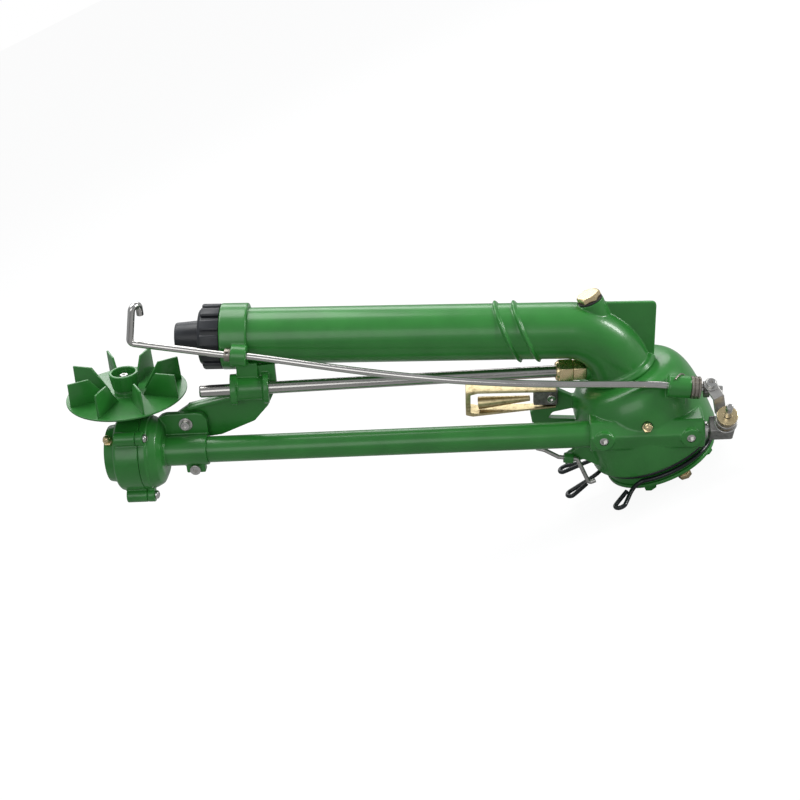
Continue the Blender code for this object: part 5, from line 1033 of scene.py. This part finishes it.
def lever():
    """Clamp on the rod, joggled bar and its cap screw."""
    point = LINK.inverted() @ (ROD @ Vector((-30.6, 0, 0)))
    at = LINK @ moved(point.x, point.y, 0)
    pad = point.z + 5.7
    low = point.z - 8
    piece("lever_clamp_grey", [block((15, 15, pad - low), (0, 0, (pad + low) / 2), 1.6, 3)], at,
          "jet_breaker", GREY_CAST, ["lever_clamp"],
          [(bar(4.35, -70, 10), at.inverted() @ ROD @ LENGTHWISE), block((1.6, 20, 12), (0, 0, low + 4))])
    run = Vector((STUD_AT - point.x, -point.y, 0))
    length = run.length
    half = 1.8
    top = point.z + 6 - BAR_LOW
    bend, foot = length * 0.42, length * 0.62
    side = [(0, top - half), (bend, top - half), (foot, -half), (length, -half), (length, half),
            (foot + 1.5, half), (bend + 1.5, top + half), (0, top + half)]
    toward = Matrix.Rotation(math.atan2(run.y, run.x), 4, "Z")
    bar_at = LINK @ moved(point.x, point.y, BAR_LOW + half) @ toward
    forms = [(slab(side, -6.5, 6.5), UPRIGHT), (bar(11.9, -half, half), moved(length, 0, 0)),
             bar(6.5, top - half, top + half)]
    casting("lever_bar_steel", forms, bar_at, "jet_breaker", LEVER_STEEL, ["lever_bar"],
            [(bar(9.3, -10, 10), moved(length, 0, 0))], 0.5, 2)
    head = at @ moved(0, 0, point.z + 6 + 3.6 + 0.3)
    screw_on_washer("clamp_screw", (7.6, 3, 0, 1.4), (5.4, 4.9, 4.4, 1.5), head, "jet_breaker")


def strap():
    cuts = [block((1.2, 24, 2), (0, 0, 12.5)), (bar(5.3, -15.5, 11.5), LENGTHWISE)]
    piece("strap_block", [block((27, 19.4, 25), (0, 0, 0), 2.0, 3)], STRAP, "strap", STRAP_GREY,
          ["eccentric_strap"], cuts)
    low = 12.8
    stud = [(0, low), (12.2, low), (12.8, low + 1), (12.2, low + 2), (4, low + 2), (4, 55), (3, 57), (0, 57)]
    piece("link_stud_steel", [(lathe(stud, soft=0.4, steps=48), moved(STUD_AT, 0, 0))], STRAP, "strap",
          SCREW_STEEL, ["link_stud"])
    washer = ring(11.5, 4.3, 31, 33.4, 0.6)
    piece("link_washer_brass", [(washer, moved(STUD_AT, 0, 0))], STRAP, "strap", YELLOW_BRASS,
          ["link_washer"])


def boss_clip():
    """Thin spring wire over the rear rod boss."""
    radius, length, steps = 13.9, 16, 24
    points = []
    for i in range(steps + 1):
        turn = math.radians(-75 + 110 * i / steps)
        points.append(Vector((-6 + length * i / steps, radius * math.sin(turn), radius * math.cos(turn))))
    wire("boss_clip", points, 1.0, ROD, "gun", RING_STEEL, ["boss_spring"], 12)


# Trip lever and spreader

def trip_lever():
    upper = TRIP_TAIL + Vector((-11, 0, 15))
    tip = upper + Vector((-8, 4, 4))
    foot = Vector((TRIP_END.x, TRIP_END.y, 35.7))
    corners = [tip, upper, TRIP_TAIL, TRIP_END, foot, foot + Vector((8, 0, 0))]
    wire("trip_lever_steel", rounded_path(corners, 3.6), 2.5, ROOT, "trip", LEVER_STEEL, ["trip_lever"])


def spreader():
    piece("spreader_block_grey", [block((28, 10, 19), (6, 0, 0), 1.6, 3)], PIVOT, "spreader", GREY_CAST,
          ["spreader_block"], [(bar(3.3, -20, 20), SIDEWAYS)])
    outer = [(-6, 10), (-6, -12.5), (90, -23), (98, -21), (98, 8), (90, 10)]
    window = [(-12, 7.4), (-12, -9.8), (84, -19), (92.4, -18), (92.4, 4.6), (84, 6.8)]
    beyond = [(-20, -60), (100, -60), (100, -21), (10, -6), (-20, -6)]
    piece("spreader_frame_brass", [(slab(outer, -5, 21, 0.7), UPRIGHT)], PIVOT, "spreader", CAST_BRASS,
          ["spreader_frame"], [(slab(window, -30, 30), UPRIGHT), slab(beyond, -60, 60)])
    funnel = [(2.0, 24), (3.2, 24), (7.2, 78), (7.4, 84), (6.2, 84), (5.8, 78)]
    piece("spreader_funnel", [turned(funnel, 0.4, 48)], PIVOT @ spun(-4) @ spun(7, "Y"), "spreader",
          CAST_BRASS)
    head = PIVOT @ SIDEWAYS @ moved(0, 0, 5.3)
    placed(socket_screw(5, 4.4, 4, 0), head, "gun", SCREW_STEEL, ["spreader_screw"])


# Studio

def studio():
    """Seamless pale floor, soft lamps and the camera of the photograph."""
    floor = bpy.data.meshes.new("studio_floor")
    half = 9.0
    drop = min(cad_low.z, 0) - 0.5 * METRES
    floor.from_pydata([(-half, -half, drop), (half, -half, drop), (half, half, drop), (-half, half, drop)],
                      [], [(0, 1, 2, 3)])
    ground = shown(floor, "studio_floor")
    paint = Paint("studio floor", (0.9, 0.9, 0.9), roughness=0.9)
    floor.materials.append(paint.material)
    seen = paint.node("ShaderNodeLightPath", output="Is Camera Ray")
    through = paint.node("ShaderNodeLightPath", output="Is Transmission Ray")
    glow = paint.node("ShaderNodeEmission", None, {"Color": (1, 1, 1, 1), "Strength": 0.93})
    veil = paint.node("ShaderNodeBsdfDiffuse", None, {"Color": (0.1, 0.1, 0.1, 1)})
    both = paint.node("ShaderNodeAddShader", None, {0: glow, 1: veil})
    plain = paint.node("ShaderNodeBsdfDiffuse", None, {"Color": (0.36, 0.36, 0.36, 1)})
    mixed = paint.node("ShaderNodeMixShader", None, {0: seen + through, 1: plain, 2: both})
    output = next(n for n in paint.nodes if n.type == "OUTPUT_MATERIAL")
    paint.links.new(mixed.socket, output.inputs["Surface"])

    world = bpy.data.worlds.new("studio")
    world.use_nodes = True
    bpy.context.scene.world = world
    sky = Graph(world.node_tree)
    soft = sky.nodes["Background"]
    soft.inputs["Color"].default_value = (0.94, 0.97, 1, 1)
    soft.inputs["Strength"].default_value = 0.38
    direct = sky.node("ShaderNodeBackground", None, {"Color": (1, 1, 1, 1), "Strength": 1.0})
    seen = sky.node("ShaderNodeLightPath", output="Is Camera Ray")
    mixed = sky.node("ShaderNodeMixShader", None, {0: seen, 1: Value(sky, soft.outputs[0]), 2: direct})
    sky.links.new(mixed.socket, sky.nodes["World Output"].inputs[0])

    # Name, place, width, height and power of each lamp
    lamps = (("key", (-0.4, 0.6, 2.5), 2.2, 1.4, 40), ("side", (2.0, -0.1, 0.8), 0.4, 0.8, 22),
             ("front", (-0.4, -2.4, 1.4), 2.0, 1.2, 11), ("back", (0.1, 2.2, 1.5), 2.6, 0.7, 17))
    for name, at, wide, high, power in lamps:
        data = bpy.data.lights.new(name, "AREA")
        data.shape = "RECTANGLE"
        data.size, data.size_y = wide, high
        data.energy = power
        lamp = shown(data, name)
        aim = (Vector((-0.15, 0, 0.2)) - Vector(at)).to_track_quat("-Z", "Y")
        lamp.matrix_world = Matrix.Translation(at) @ aim.to_matrix().to_4x4()

    look, roll, tilt = (math.radians(a) for a in (LOOK, ROLL, TILT))
    across, rise = GUN.to_3x3() @ Vector((-1, 0, 0)), GUN.to_3x3() @ Vector((0, 0, 1))
    swing = Matrix.Rotation(look, 3, rise)
    right = swing @ across
    up = swing @ (math.cos(tilt) * rise + math.sin(tilt) * Vector((0, 1, 0)))
    right, up = right * math.cos(roll) - up * math.sin(roll), up * math.cos(roll) + right * math.sin(roll)
    data = bpy.data.cameras.new("camera")
    data.sensor_width = SENSOR
    data.lens = SENSOR * FOCAL_PIXELS / PICTURE_PIXELS
    camera = shown(data, "camera")
    camera.matrix_world = frame_of(Vector(CAMERA_AT) * METRES, right, up, right.cross(up))
    bpy.context.scene.camera = camera
    bpy.context.scene.view_settings.view_transform = "Standard"


studio()
for look, names in KEPT_LOOKS:
    for name in names:
        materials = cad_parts[name].data.materials
        materials.clear()
        materials.append(look[1])
for build in (base, stop_rings, drum, grease_nipples, elbow, elbow_plug, barrel, clamp, nozzle_nut,
              nozzle_cone, jet_tube, drive_tube, gearbox, gearbox_screws, ear_screws, set_screws, turbine,
              breaker_rod, lever, strap, boss_clip, trip_lever, spreader):
    build()
